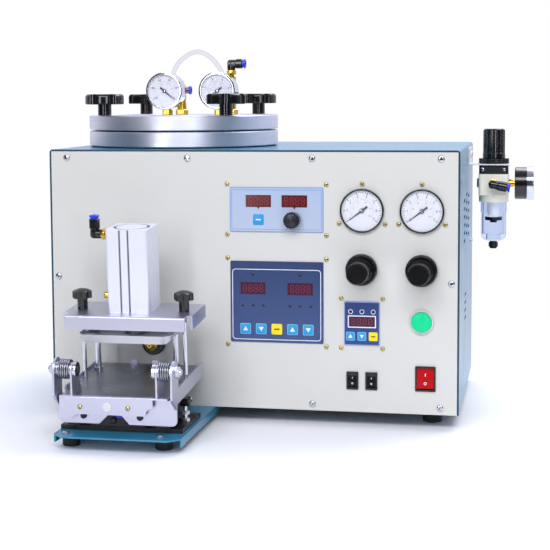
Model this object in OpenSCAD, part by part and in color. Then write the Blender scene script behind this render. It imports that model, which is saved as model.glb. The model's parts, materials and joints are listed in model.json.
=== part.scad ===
// Vacuum wax injector with an automatic mould clamp, in millimetres, +Z up, front facing -Y.
// The layout is measured from the cabinet's front left bottom corner: X to the right, Y to the rear.
// placed() then moves every piece so that the origin lies under the middle of the whole machine,
// on the surface that its feet stand on.

/* [Cabinet] */
// Width of the cabinet
cab_w = 500; // [480:1:540]
// Depth of the cabinet
cab_d = 300; // [290:1:340]
// Height of the cabinet above its feet
cab_h = 312; // [300:1:340]
// Thickness of the wrapped shell
shell_t = 2; // [1.5:0.1:2.5]
// Outer bend radius of the shell's top edges
shell_bend = 4; // [3:0.5:6]
// Thickness of the front panel
panel_t = 2; // [1.5:0.1:3]
// Thickness of the bottom and rear sheet
chassis_t = 1.5; // [1:0.1:2]
// Gap between the panel or chassis and the shell around it
sheet_gap = 0.3; // [0.2:0.1:0.6]
// Length of a louvre slot in the right side
vent_len = 30; // [24:1:34]
// Height of a louvre slot
vent_h = 4; // [3:0.5:5]

/* [Feet and screws] */
// Height of the machine's feet
foot_h = 18; // [14:1:24]
// Diameter of a cabinet foot
foot_d = 24; // [20:1:28]
// Diameter of a foot under the clamp's base plate
base_foot_d = 21; // [18:1:24]
// Distance of the cabinet feet from the sides
foot_inset_x = 34; // [26:1:38]
// Distance of the cabinet feet from the front and rear
foot_inset_y = 45; // [35:1:60]
// Head diameter of the steel pan screws
pan_d = 8; // [6:0.5:9]
// Head height of the steel pan screws
pan_h = 2; // [1.5:0.1:2.5]
// Head diameter of the brass panel screws
brass_d = 5.6; // [4.5:0.1:6]
// Head height of the brass panel screws
brass_h = 1.6; // [1.2:0.1:2]

/* [Wax tank and lid] */
// Distance of the tank's axis from the cabinet's left side
tank_x = 132; // [128:1:140]
// Distance of the tank's axis from the panel
tank_y = 148; // [140:1:160]
// Diameter of the tank flange and the lid
flange_d = 246; // [240:1:256]
// Thickness of the tank flange
flange_t = 18.5; // [14:0.5:22]
// Thickness of the lid
lid_t = 18; // [14:0.5:22]
// Thickness of the gasket under the flange
gasket_t = 1.5; // [1:0.1:3]
// Thickness of the lid seal
seal_t = 2; // [1.5:0.1:3]
// Outer diameter of the wax pot
pot_d = 184; // [170:1:190]
// Wall of the wax pot
pot_wall = 6; // [4:0.5:8]
// Height of the pot's underside above the cabinet's bottom
pot_z = 50; // [44:1:54]
// Thickness of the pot's floor
pot_floor = 8; // [6:0.5:10]
// Thickness of the heater band
heater_t = 4; // [3:0.5:6]
// Height of the heater band
heater_h = 80; // [60:1:100]
// Distance of the lid studs from the flange's edge
stud_edge = 10; // [8:0.5:12]
// Diameter of a lid stud
stud_d = 8; // [6:0.5:10]
// Turn of the stud circle from the diagonals
stud_turn = -3; // [-8:1:8]
// Width of a lid knob across its lobes
lid_knob_d = 49; // [44:1:54]
// Thickness of a lid knob's cap
lid_knob_t = 13; // [10:0.5:16]
// Length of a lid knob's stem
lid_stem_l = 14; // [12:0.5:22]
// Diameter of a lid knob's stem
lid_stem_d = 17; // [14:0.5:19]

/* [Lid gauges and fittings] */
// Diameter of a lid gauge
lid_gauge_d = 48; // [44:1:50]
// Depth of a lid gauge
lid_gauge_depth = 27; // [22:1:29]
// Distance of the gauge faces from the panel
lid_gauge_y = 118; // [112:1:124]
// Height of the gauge centres over the lid
lid_gauge_rise = 31; // [30:0.5:36]
// Place of the vacuum gauge across the lid, from the tank's axis
vacuum_gauge_x = -19; // [-24:1:-16]
// Place of the pressure gauge across the lid, from the tank's axis
pressure_gauge_x = 51; // [48:1:54]
// Diameter of a brass post
post_d = 12; // [10:0.5:13]
// Outer diameter of the air tube on the lid
tube_d = 6; // [5:0.5:6]

/* [Injection nozzle] */
// Height of the nozzle over the cabinet's bottom
nozzle_z = 76; // [74:1:82]
// Diameter of the heat insulator
insulator_d = 28; // [26:1:32]
// Thickness of the heat insulator
insulator_t = 6; // [4:0.5:7]
// Diameter of the nozzle's stem
nozzle_d = 10; // [8:0.5:12]
// Reach of the nozzle's tip in front of the panel
nozzle_reach = 22; // [20:0.5:26]
// Wax orifice of the nozzle
orifice_d = 2.4; // [2:0.1:3]
// Wax passage from the tank to the nozzle's bore
outlet_d = 3.5; // [3:0.1:4]
// Travel of the nozzle when the mould opens it
nozzle_travel = 3; // [2:0.5:4]

/* [Panel instruments] */
// Distance of the right column of controls from the cabinet's right side
right_col = 44; // [40:1:48]
// Distance between the two columns of controls
col_pitch = 70.5; // [68:0.5:74]
// Distance from the left column of controls to the display panels
display_pitch = 102.5; // [100:0.5:108]
// Depth of the gauge centres under the cabinet's top
gauge_drop = 71; // [66:1:76]
// Depth of the regulators under the cabinet's top
regulator_drop = 140.5; // [136:0.5:144]
// Depth of the timer's middle under the cabinet's top
timer_drop = 205.3; // [202:0.1:208]
// Height of the small rocker switches
rocker_z = 38; // [34:1:40]
// Height of the power switch
power_z = 42.7; // [36:0.1:46]
// Distance of a small rocker from the middle of its pair
rocker_half_pitch = 11.3; // [10.5:0.1:14]
// Diameter of the panel gauges
gauge_d = 52; // [48:1:54]
// Height of a panel gauge's rim
gauge_rim_h = 5; // [4.5:0.1:6]
// Width of a gauge's rim
gauge_rim_w = 2; // [1.5:0.1:3]
// Diameter of the regulators' ring nut
ring_nut_d = 37.6; // [34:0.1:40]
// Thickness of the regulators' ring nut
ring_nut_t = 10; // [8:0.5:12]
// Diameter of the regulators' neck
neck_d = 22; // [18:0.5:24]
// Diameter of a regulator knob
regulator_knob_d = 28; // [24:0.5:30]
// Length of a regulator knob
regulator_knob_l = 38; // [30:1:42]
// Outer diameter of the push button's bezel
bezel_d = 28.4; // [27:0.1:30]
// Diameter of the push button's lens
lens_d = 24; // [22:0.5:25]
// Travel of the push button
button_travel = 3; // [2:0.5:3]
// Width of the upper display panel and of the controller
display_w = 113; // [108:1:116]
// Height of the upper display panel
display_h = 53.4; // [50:0.1:56]
// Height of the controller
controller_h = 98; // [94:1:102]
// Depth of the controller's middle under the cabinet's top
controller_drop = 182; // [179:1:186]
// Width of the timer
timer_w = 42.4; // [40:0.1:44]
// Height of the timer
timer_h = 52.2; // [50:0.1:54]
// Thickness of a display panel's front
overlay_t = 1.2; // [0.8:0.1:2]
// Diameter of the display's knob
display_knob_d = 19.6; // [16:0.1:22]

/* [Clamp base] */
// Distance of the clamp's and the nozzle's middle from the cabinet's left side
clamp_x = 130; // [126:1:136]
// Distance of the base plate's front edge from the panel
base_front = 173; // [172:1:180]
// Length of the base plate under the cabinet
base_under = 80; // [60:1:120]
// Width of the base plate
base_w = 148; // [146:1:160]
// Thickness of the base plate
base_t = 2; // [1.5:0.1:3]
// Height of the base plate's side flanges
base_flange_h = 10; // [8:0.5:12]
// Thickness of the slide's foot plate
slide_t = 5; // [4:0.5:6]
// Width of a slide rail
rail_w = 12; // [10:0.5:14]
// Height of a slide rail
rail_h = 8; // [7:0.5:10]
// Travel of the carriage towards the nozzle
forward_travel = 14; // [10:0.5:15]

/* [Mould clamp] */
// Distance of the tilt axis from the panel
pivot_out = 157.6; // [155:0.1:159]
// Height of the tilt axis
pivot_z = 73.2; // [71:0.1:76]
// Lean of the press frame on its springs
lean = 4; // [3:0.5:5]
// Half width between the carriage ears
ear_x = 66.5; // [65:0.5:68]
// Thickness of the carriage sheet
carriage_t = 2.5; // [2:0.1:3]
// Half width of the mould tray
tray_x = 66; // [64:0.5:66]
// Height of the tray's surface
tray_z = 44; // [43:0.5:46]
// Thickness of the tray sheet
tray_t = 2.2; // [1.5:0.1:2.5]
// Distance of the tray's front from the panel
tray_front = 162.3; // [161:0.1:164]
// Distance of the tray's rear edge from the panel
tray_rear = 20; // [19:0.5:26]
// Height of the top plate's surface
top_z = 125; // [120:1:130]
// Thickness of the top plate
top_t = 2.5; // [2:0.1:3]
// Half width of the top plate
top_x = 76.5; // [74:0.5:80]
// Height of the top plate's flanges
top_flange_h = 16; // [12:0.5:18]
// Width of the clamp cylinder
cyl_w = 49.4; // [46:0.2:50]
// Length of the clamp cylinder
cyl_l = 96.5; // [90:0.5:110]
// Bore of the clamp cylinder
cyl_bore = 40; // [32:1:40]
// Diameter of the piston rod
rod_d = 12; // [10:0.5:16]
// Travel of the press plate
press_travel = 40; // [30:1:45]
// Height of the press plate's underside
press_z = 94; // [92:0.5:97]
// Height of the press plate's turned up rim
press_h = 9; // [7:0.5:10]
// Half width of the press plate
press_x = 55; // [50:0.5:56]
// Wire diameter of the torsion springs
wire_d = 2; // [1.6:0.1:2]
// Turns of a torsion spring
spring_turns = 4.75; // [3.75:1:4.75]

/* [Filter regulator] */
// Distance of the filter's axis from the cabinet's right side
filter_out = 32; // [30:1:38]
// Distance of the filter's axis from the cabinet's rear
filter_rear = 100; // [85:1:110]
// Depth of the filter body's underside under the cabinet's top
filter_drop = 74; // [72:1:87]
// Width of the filter body
filter_w = 38; // [36:1:44]
// Height of the filter body
filter_h = 36.5; // [35:0.5:42]
// Outer diameter of the clear bowl
bowl_d = 32.5; // [30:0.5:35]
// Length of the clear bowl
bowl_l = 51; // [44:1:60]
// Wall of the clear bowl
bowl_wall = 2.5; // [2:0.1:3]
// Diameter of the filter's knob
filter_knob_d = 28; // [26:0.2:34]
// Height of the filter's knob
filter_knob_h = 38; // [34:1:44]
// Diameter of the supply gauge
supply_gauge_d = 43; // [38:1:45]
// Depth of the supply gauge
supply_gauge_depth = 24; // [20:1:28]
// Inner diameter of the push-in tube fittings
port_d = 6; // [6:0.1:6.2]

/* [Fits] */
// Radial clearance of a shaft in its bore
run = 0.05; // [0.02:0.01:0.09]
// Gap between neighbouring pieces that must stay apart
gap = 0.3; // [0.3:0.05:0.4]

/* [Hidden] */
$fn = 48;
teal = "#2b7f9e";
silver = "#d5d8de";
black = "#1b1b1d";
brass = "#c79a3b";
navy = "#24407c";

vent_pitch = 10;
vent_step = 48;

// Outline of the whole machine, for the origin
filter_x = cab_w + filter_out;
nipple_l = 8;
part_left = -pan_h;
part_right = filter_x + filter_w / 2 + nipple_l + supply_gauge_depth;
inlet_lip = 2;
part_front = -base_front;
part_rear = cab_d + inlet_lip;

// Panel layout
clamp_col = cab_w - right_col;
forward_col = clamp_col - col_pitch;
display_col = forward_col - display_pitch;
gauge_z = cab_h - gauge_drop;
regulator_z = cab_h - regulator_drop;
timer_z = cab_h - timer_drop;
controller_z = cab_h - controller_drop;
button_z = timer_z + 4;
panel_cols = [forward_col, clamp_col];
rockers = [[forward_col - rocker_half_pitch, rocker_z], [forward_col + rocker_half_pitch, rocker_z]];
power_x = clamp_col + 4.7;
rocker_size = [14.3, 21.3];
power_size = [24, 30];
rocker_frame_w = 1.8;
rocker_half_throw = 9;
rocker_sink = 2.5;
rocker_pin_d = 3;
overlay_edge = 2;
overlay_depth = 20;
display_knob_at = [20, -11.8];
display_knob_l = 13;
display_shaft_d = 6;
key_rise = 0.4;
window_depth = 0.6;

// Tank stack
gasket_z = cab_h;
flange_z = gasket_z + gasket_t;
seal_z = flange_z + flange_t;
lid_z = seal_z + seal_t;
lid_top = lid_z + lid_t;
pot_r = pot_d / 2;
stud_circle = flange_d - 2 * stud_edge;
seal_land = 8;
seal_r = (stud_circle - stud_d) / 2 - seal_land;
boss_d = 28;
boss_front = panel_t + gap;
nozzle_bore_end = 46;
nozzle_inner = 36;
stud_depth = 14;
stud_hole_d = stud_d + 2 * run;
knob_angles = [225, 315, 45, 135];

// Lid pieces
gauge_base_z = lid_top + lid_gauge_rise;
tube_y = lid_gauge_y + lid_gauge_depth + 11;
tube_end_z = lid_top + 44;
valve_x = vacuum_gauge_x + 14;
elbow_x = pressure_gauge_x + 11;
arm_z = lid_top + 30;
// Route of the air tube, as offsets from the tank's axis and the lid's top
tube_route = [
    [-17, 44], [-17, 50], [-15, 57.5], [-11, 65], [-4.5, 72], [3, 77.5], [10.5, 81], [17, 82],
    [24, 80.5], [31.5, 76.5], [38.5, 70.5], [44.5, 63], [48.5, 56], [50, 50], [50, 44]
];

// Clamp layout
pivot_y = -pivot_out;
base_shift = 2;
slide_w = 143;
slide_front = -138;
slide_rear = -56;
rail_x = 38;
rail_top = slide_t + rail_h;
stop_x = tray_x - tray_t / 2;
stop_half = 5;
block_x = stop_x - stop_half - 3 * gap;
block_front = -149.5;
block_rear = -66;
block_z = slide_t + 3;
block_top = 30;
rod_z = 16;
push_rod_d = 8;
push_cyl_d = 26;
push_cyl_l = 56;
push_cyl_y = panel_t + 3;
stop_y = -100;
side_drop = 10;
side_rise = 5;
roller_d = 9;
ear_r = 13;
bolt_d = 8;
lug_x = 50;
lug_t = 2;
lug_r = 8;
sleeve_d = 16.4;
spring_steps = 8;
spring_r = (sleeve_d / 2 + gap + wire_d / 2) / cos(180 / spring_steps);
spring_pitch = wire_d + 0.5;
top_front = -118.5;
top_rear = -43;
top_notch = 13;
cyl_y = -76;
cyl_cap = 6;
piston_t = 12;
press_shift = -2;
press_front = -118;
press_rear = -57;
press_web = 3;
guide_d = 7;
guide_x = 48;
guide_shift = -7;
guide_y = -50;
post_knob_x = 61;
post_knob_y = -82;
post_stud_d = 5;
post_knob_d = 22.6;
post_knob_t = 11;
post_crown_r = 20;
post_stem_d = 12;
post_stem_l = 13;

// Filter layout
filter_y = cab_d - filter_rear;
filter_z = cab_h - filter_drop;
body_top = filter_z + filter_h;
bonnet_h = 11.5;
bracket_t = 1.5;
bracket_z = body_top + bonnet_h;
filter_nut_t = 6.5;
filter_nut_d = 39;
filter_neck_d = 27;
spigot_d = 20;
spigot_l = 12;
knob_base_z = bracket_z + bracket_t + filter_nut_t + gap;
port_z = filter_z + 24;
bracket_half = 22;
bracket_plate = [64, 22];
bracket_screw = [34, 12];
elbow_turn = 11;

// Moves the layout's corner so that the origin is under the middle of the machine
module placed()
    translate([-(part_left + part_right) / 2, -(part_front + part_rear) / 2, foot_h]) children();

// A piece on the front panel: X to the right, Y up, Z out of the panel
module on_panel(x, z) translate([x, 0, z]) rotate([90, 0, 0]) children();

// A piece that faces right: X to the rear, Y up, Z out to the right
module facing_right(at) translate(at) rotate([90, 0, 90]) children();

// A piece whose own Z runs to the rear
module to_rear(at) translate(at) rotate([-90, 0, 0]) children();

// The press frame leans about the tilt axis
module leaning()
    translate([0, pivot_y, pivot_z]) rotate([lean, 0, 0]) translate([0, -pivot_y, -pivot_z]) children();

// Rectangle with round corners, about its middle
module round_rect(size, r) {
    square([size.x - 2 * r, size.y], center = true);
    square([size.x, size.y - 2 * r], center = true);
    for (sx = [-1, 1], sy = [-1, 1])
        translate([sx * (size.x / 2 - r), sy * (size.y / 2 - r)]) circle(r);
}

// Upright outline with a flat foot and round upper corners
module arch(w, h, r) {
    square([w, h - r]);
    translate([r, 0]) square([w - 2 * r, h]);
    for (x = [r, w - r]) translate([x, h - r]) circle(r);
}

// Pan head of a screw, standing on the XY plane
module pan_head(d, h) rotate_extrude() {
    edge = h / 2;
    square([d / 2, h - edge]);
    square([d / 2 - edge, h]);
    translate([d / 2 - edge, h - edge]) circle(edge, $fn = 24);
}

// Ring between two radii
module ring(r_out, r_in, h) difference() {
    cylinder(r = r_out, h = h);
    translate([0, 0, -1]) cylinder(r = r_in, h = h + 2);
}

// Slot with round ends, through a sheet that lies in the XY plane
module slot(l, w, h) translate([0, 0, -h]) linear_extrude(2 * h) {
    square([l - w, w], center = true);
    for (s = [-1, 1]) translate([s * (l - w) / 2, 0]) circle(w / 2, $fn = 16);
}

// Tube swept along a path, as one closed surface of triangles
function unit(v) = v / norm(v);
function tangents(p) = [for (i = [0:len(p) - 1]) unit(p[min(i + 1, len(p) - 1)] - p[max(i - 1, 0)])];
function across(t, n) = unit(n - (n * t) * t);
function normals(t, first) = [
    for (i = 0, n = across(t[0], first); i < len(t); i = i + 1, n = i < len(t) ? across(t[i], n) : n) n
];
module swept_tube(path, r, sides, first) {
    t = tangents(path);
    n = normals(t, first);
    last = len(path) - 1;
    points = [
        for (i = [0:last], k = [0:sides - 1])
            path[i] + r * (cos(360 * k / sides) * n[i] + sin(360 * k / sides) * cross(t[i], n[i]))
    ];
    walls = [
        for (i = [0:last - 1], k = [0:sides - 1])
            let (a = i * sides + k, b = i * sides + (k + 1) % sides)
                each [[a, a + sides, b + sides], [a, b + sides, b]]
    ];
    ends = [
        for (k = [1:sides - 2])
            each [[0, k, k + 1], [last * sides, last * sides + k + 1, last * sides + k]]
    ];
    polyhedron(points, concat(walls, ends));
}
// Least distance of a path to itself, beyond neighbours along it
function self_gap(path, skip, d) = min([
    for (i = [0:len(path) - 1 - skip], j = [i + skip:len(path) - 1]) norm(path[i] - path[j])
]) - d;

// Star knob: a lobed cap on a stem, standing on the XY plane
module star_knob(d, cap_t, stem_d, stem_l, lobes) {
    cylinder(d = stem_d, h = stem_l + cap_t / 2);
    translate([0, 0, stem_l]) intersection() {
        linear_extrude(cap_t) star_plan(d, lobes);
        star_dome(d, cap_t);
    }
}
module star_plan(d, lobes) difference() {
    lobe_r = d / 6;
    circle(d / 2);
    for (i = [0:lobes - 1])
        rotate(360 * (i + 0.5) / lobes) translate([d / 2 + lobe_r * 0.55, 0]) circle(lobe_r);
}
module star_dome(d, t) rotate_extrude() {
    edge = t * 0.32;
    low = t * 0.12;
    square([d / 2 - edge, t]);
    square([d / 2 - low, t - edge]);
    translate([0, low]) square([d / 2, t - edge - low]);
    translate([d / 2 - low, low]) circle(low, $fn = 32);
    translate([d / 2 - edge, t - edge]) circle(edge, $fn = 32);
}

// Knob with a grooved grip, standing on the XY plane
module grooved_grip(d, h, grooves, groove_r) linear_extrude(h) difference() {
    circle(d / 2);
    for (i = [0:grooves - 1])
        rotate(360 * i / grooves) translate([d / 2 + groove_r * 0.45, 0]) circle(groove_r, $fn = 16);
}

// Gauge parts, on the XY plane: rim with a recessed dial, then glass and needle
needle_pin_d = 2;
dial_drop = 3.8;
function dial_face(rim_h) = rim_h - dial_drop;
module gauge_rim(d, rim_h, rim_w) difference() {
    cylinder(d = d, h = rim_h);
    translate([0, 0, dial_face(rim_h)]) cylinder(d = d - 2 * rim_w, h = rim_h);
    translate([0, 0, dial_face(rim_h) - 1]) cylinder(d = needle_pin_d + 2 * run, h = 2, $fn = 24);
}
module gauge_glass(d, rim_h, rim_w)
    translate([0, 0, rim_h - 1.2]) cylinder(d = d - 2 * rim_w - 2 * run, h = 1);
module gauge_needle(d, rim_h, rim_w, angle) translate([0, 0, dial_face(rim_h)]) {
    reach = d / 2 - rim_w - 5;
    tail = reach * 0.42;
    translate([0, 0, -0.7]) cylinder(d = needle_pin_d, h = 1.2, $fn = 24);
    translate([0, 0, gap]) cylinder(d = d * 0.1, h = 1.5);
    rotate(angle) translate([0, 0, gap + 0.4]) linear_extrude(0.6) {
        translate([-tail, -1.2]) square([tail, 2.4]);
        polygon([[-2, -1.2], [reach, -0.25], [reach, 0.25], [-2, 1.2]]);
    }
}

// Cabinet

module cabinet_shell() color(teal) placed() difference() {
    translate([0, cab_d, 0]) rotate([90, 0, 0]) linear_extrude(cab_d) difference() {
        arch(cab_w, cab_h, shell_bend);
        translate([shell_t, -1]) arch(cab_w - 2 * shell_t, cab_h - shell_t + 1, shell_bend - shell_t);
    }
    translate([tank_x, tank_y, cab_h - shell_t - 1]) cylinder(d = pot_d + 2 * gap, h = shell_t + 2, $fn = 96);
    for (col = [0:2], row = [0:5]) {
        stagger = col % 2 == 0 ? 0 : vent_pitch / 2;
        rise = cab_h / 2 + 40 + row * vent_pitch + stagger;
        facing_right([cab_w - shell_t / 2, cab_d / 2 + (col - 1) * vent_step, rise])
            slot(vent_len, vent_h, shell_t);
    }
    for (row = [0:3])
        facing_right([cab_w - shell_t / 2, cab_d / 2 - 20, cab_h / 2 - 60 + row * vent_pitch])
            slot(vent_len, vent_h, shell_t);
}

module front_panel() color("#dcdee2") placed() difference() {
    panel_l = shell_t + sheet_gap;
    translate([panel_l, 0, 0]) cube([cab_w - 2 * panel_l, panel_t, cab_h - panel_l]);
    panel_holes();
}
module panel_hole(x, z, d) on_panel(x, z) translate([0, 0, -panel_t - 1]) cylinder(d = d, h = panel_t + 2);
module panel_window(x, z, size) on_panel(x, z) translate([0, 0, -panel_t / 2])
    cube([size.x + 2 * gap, size.y + 2 * gap, panel_t + 2], center = true);
module panel_holes() {
    panel_hole(clamp_x, nozzle_z, nozzle_d + 4);
    panel_hole(clamp_x, rod_z, push_rod_d + 2);
    for (x = panel_cols) {
        panel_hole(x, gauge_z, gauge_body_d + 2 * gap);
        panel_hole(x, regulator_z, neck_d + 2 * gap);
    }
    panel_hole(clamp_col, button_z, button_body_d + 2 * gap);
    for (at = rockers) panel_window(at.x, at.y, rocker_body(rocker_size));
    panel_window(power_x, power_z, rocker_body(power_size));
    panel_window(display_col, gauge_z, overlay_body([display_w, display_h]));
    panel_window(display_col, controller_z, overlay_body([display_w, controller_h]));
    panel_window(forward_col, timer_z, overlay_body([timer_w, timer_h]));
}
gauge_body_d = gauge_d - 6;
button_body_d = lens_d - 2;
function rocker_body(size) = [size.x - 2 * 0.9, size.y - 2 * 0.9];
function overlay_body(size) = [size.x - 2 * overlay_edge, size.y - 2 * overlay_edge];

inlet_x = 420;
inlet_z = 52;
inlet_size = [30, 24];
module rear_chassis() color("#2c6f8a") placed() difference() {
    side = shell_t + sheet_gap;
    w = cab_w - 2 * side;
    union() {
        translate([side, panel_t, 0]) cube([w, cab_d - panel_t, chassis_t]);
        translate([side, cab_d - chassis_t, 0]) cube([w, chassis_t, cab_h - side]);
        translate([side, panel_t, 0]) cube([w, chassis_t, 12]);
    }
    to_rear([clamp_x, 0, rod_z]) cylinder(d = push_rod_d + 2, h = 2 * panel_t + chassis_t);
    translate([inlet_x, cab_d, inlet_z]) rotate([90, 0, 0])
        cube([inlet_size.x - 4, inlet_size.y - 4, 4 * chassis_t], center = true);
    for (row = [0:7])
        translate([cab_w * 0.72, cab_d - chassis_t / 2, cab_h / 2 + row * vent_pitch]) rotate([90, 0, 0])
            slot(3 * vent_len, vent_h, chassis_t);
}

function cabinet_feet() = [
    for (x = [foot_inset_x, cab_w - foot_inset_x], y = [foot_inset_y, cab_d - foot_inset_y]) [x, y]
];
base_feet_x = [-59, 50];
base_foot_y = -138;
module foot(d, h) rotate_extrude()
    polygon([[2.5, 4], [2.5, 0], [d / 2 - 1.5, 0], [d / 2 - 0.5, 1], [d / 2, h], [0, h], [0, 4]]);
module rubber_feet() color(black) placed() {
    for (at = cabinet_feet()) translate([at.x, at.y, -foot_h]) foot(foot_d, foot_h);
    for (x = base_feet_x)
        translate([clamp_x + x, base_foot_y, -foot_h]) foot(base_foot_d, foot_h - base_t);
}

pan_inset = 22;
pan_top = 10;
pan_low = 8;
pan_side = 9.2;
side_screw_y = cab_d - 52;
side_screws = [[side_screw_y, cab_h - 10], [side_screw_y + 18, cab_h - 132]];
module steel_screws() color(silver) placed() {
    for (i = [0:3], z = [pan_low, cab_h - pan_top])
        on_panel(pan_inset + i * (cab_w - 2 * pan_inset) / 3, z) pan_head(pan_d, pan_h);
    for (x = [pan_side, cab_w - pan_side]) on_panel(x, cab_h / 2) pan_head(pan_d, pan_h);
    for (at = side_screws) {
        facing_right([cab_w, at.x, at.y]) pan_head(pan_d, pan_h);
        translate([0, at.x, at.y]) rotate([0, -90, 0]) pan_head(pan_d, pan_h);
    }
    facing_right([cab_w + bracket_t, filter_y + bracket_screw.x, bracket_z + bracket_screw.y])
        pan_head(pan_d, pan_h);
    for (x = base_feet_x) translate([clamp_x + x, base_foot_y - 18, 0]) pan_head(pan_d, pan_h);
}

screw_out = 3.5;
gauge_screw_r = gauge_d / 2 + 5.5;
module corner_screws(x, z, size) for (sx = [-1, 1], sz = [-1, 1])
    on_panel(x + sx * (size.x / 2 + screw_out), z + sz * (size.y / 2 + screw_out)) pan_head(brass_d, brass_h);
module brass_screws() color(brass) placed() {
    corner_screws(display_col, gauge_z, [display_w, display_h]);
    corner_screws(display_col, controller_z, [display_w, controller_h]);
    corner_screws(forward_col, timer_z, [timer_w, timer_h]);
    for (x = panel_cols, a = [90, 210, 330])
        on_panel(x + gauge_screw_r * cos(a), gauge_z + gauge_screw_r * sin(a)) pan_head(brass_d, brass_h);
}

// Tank, heater and vacuum unit

module at_studs() for (a = knob_angles)
    translate([tank_x, tank_y, 0]) rotate(a + stud_turn) translate([stud_circle / 2, 0, 0]) children();
module disc(d, t, edge) rotate_extrude($fn = 96)
    polygon([[0, 0], [d / 2 - edge, 0], [d / 2, edge], [d / 2, t - edge], [d / 2 - edge, t], [0, t]]);

module wax_tank() color(silver) placed() difference() {
    union() {
        translate([tank_x, tank_y, flange_z]) disc(flange_d, flange_t, 1);
        translate([tank_x, tank_y, pot_z]) cylinder(d = pot_d, h = flange_z - pot_z + 1, $fn = 96);
        to_rear([clamp_x, boss_front, nozzle_z])
            cylinder(d = boss_d, h = tank_y - pot_r + pot_wall / 2 - boss_front);
    }
    translate([tank_x, tank_y, pot_z + pot_floor])
        cylinder(d = pot_d - 2 * pot_wall, h = seal_z - pot_z, $fn = 96);
    to_rear([clamp_x, 0, nozzle_z]) cylinder(d = nozzle_d + 2 * run, h = nozzle_bore_end);
    to_rear([clamp_x, 0, nozzle_z]) cylinder(d = outlet_d, h = tank_y);
    at_studs() translate([0, 0, seal_z - stud_depth - 2]) cylinder(d = stud_hole_d, h = stud_depth + 3);
}

heater_z = nozzle_z + boss_d / 2 + 10;
module heater_band() color("#b8b2a6") placed() {
    translate([tank_x, tank_y, heater_z]) ring(pot_r + gap + heater_t, pot_r + gap, heater_h, $fn = 96);
    translate([tank_x + pot_r + gap + heater_t - 1.5, tank_y - 15, heater_z + 20]) cube([16, 30, 24]);
}

pump_at = [330, 170];
pump_foot = [120, 70, 8];
pump_head = [40, 50, 72];
motor_d = 60;
motor_l = 68;
valve_block = [110, 32, 26];
valve_shift = [10, 90];
coil_d = 24;
coil_h = 34;
module vacuum_unit() color("#8a8f96") placed() {
    translate([pump_at.x, pump_at.y, chassis_t]) {
        cube(pump_foot);
        translate([6, (pump_foot.y - pump_head.y) / 2, pump_foot.z - 1]) cube(pump_head);
        translate([5 + pump_head.x, pump_foot.y / 2, pump_foot.z + pump_head.z / 2]) rotate([0, 90, 0])
            cylinder(d = motor_d, h = motor_l);
    }
    translate([pump_at.x - valve_shift.x, pump_at.y - valve_shift.y, chassis_t]) {
        cube(valve_block);
        for (i = [0:2]) translate([valve_block.x * (2 * i + 1) / 6, valve_block.y / 2, valve_block.z - 1])
            cylinder(d = coil_d, h = coil_h);
    }
}

module tank_gaskets() color(black) placed() translate([tank_x, tank_y, 0]) {
    translate([0, 0, gasket_z]) ring(flange_d / 2 - 3, pot_r + gap, gasket_t, $fn = 96);
    translate([0, 0, seal_z]) ring(seal_r, pot_r - pot_wall + 1, seal_t, $fn = 96);
}

module nozzle_insulator() color(black) placed() on_panel(clamp_x, nozzle_z) difference() {
    union() {
        disc(insulator_d, insulator_t, 0.8);
        translate([0, 0, -panel_t]) cylinder(d = nozzle_d + 4 - 2 * run, h = panel_t + 1);
    }
    translate([0, 0, -panel_t - 1]) cylinder(d = nozzle_d + 2 * gap, h = insulator_t + panel_t + 2);
}

// The nozzle slides in the tank's boss: a mould that pushes its tip in opens the wax valve
module injection_nozzle() color(brass) placed() on_panel(clamp_x, nozzle_z) difference() {
    shoulder = insulator_t + nozzle_travel + 2 * gap;
    rotate_extrude() polygon([
        [0, -nozzle_inner], [nozzle_d / 2, -nozzle_inner], [nozzle_d / 2, shoulder],
        [nozzle_d / 2 + 2.5, shoulder], [nozzle_d / 2 + 2.5, shoulder + 4],
        [nozzle_d / 2 - 0.5, shoulder + 5],
        [orifice_d / 2 + 2.4, nozzle_reach - 3], [orifice_d / 2 + 1.2, nozzle_reach], [0, nozzle_reach]
    ]);
    translate([0, 0, -nozzle_inner - 1]) cylinder(d = orifice_d, h = nozzle_inner + nozzle_reach + 2);
}

// Panel instruments

module overlay(size, depth) {
    linear_extrude(overlay_t) round_rect(size, 1.5);
    back = overlay_body(size);
    translate([-back.x / 2, -back.y / 2, -depth]) cube([back.x, back.y, depth]);
}
module window_cut(at, size) translate([at.x, at.y, overlay_t])
    cube([size.x, size.y, 2 * window_depth], center = true);
module key_pad(at, w) translate([at.x, at.y, overlay_t - 0.2])
    linear_extrude(key_rise + 0.2) round_rect([w, w], 1.5);
module lamp_cut(at, d) translate([at.x, at.y, overlay_t - window_depth]) cylinder(d = d, h = 2);

module display_panel() color("#b9c8ec") placed() on_panel(display_col, gauge_z) {
    difference() {
        overlay([display_w, display_h], overlay_depth);
        for (s = [-1, 1]) window_cut([s * 21.8, 10.2], [31, 14.6]);
        translate([display_knob_at.x, display_knob_at.y, -14])
            cylinder(d = display_shaft_d + 2 * run, h = 20);
    }
    key_pad([-21.8, -12], 13);
}

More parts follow.
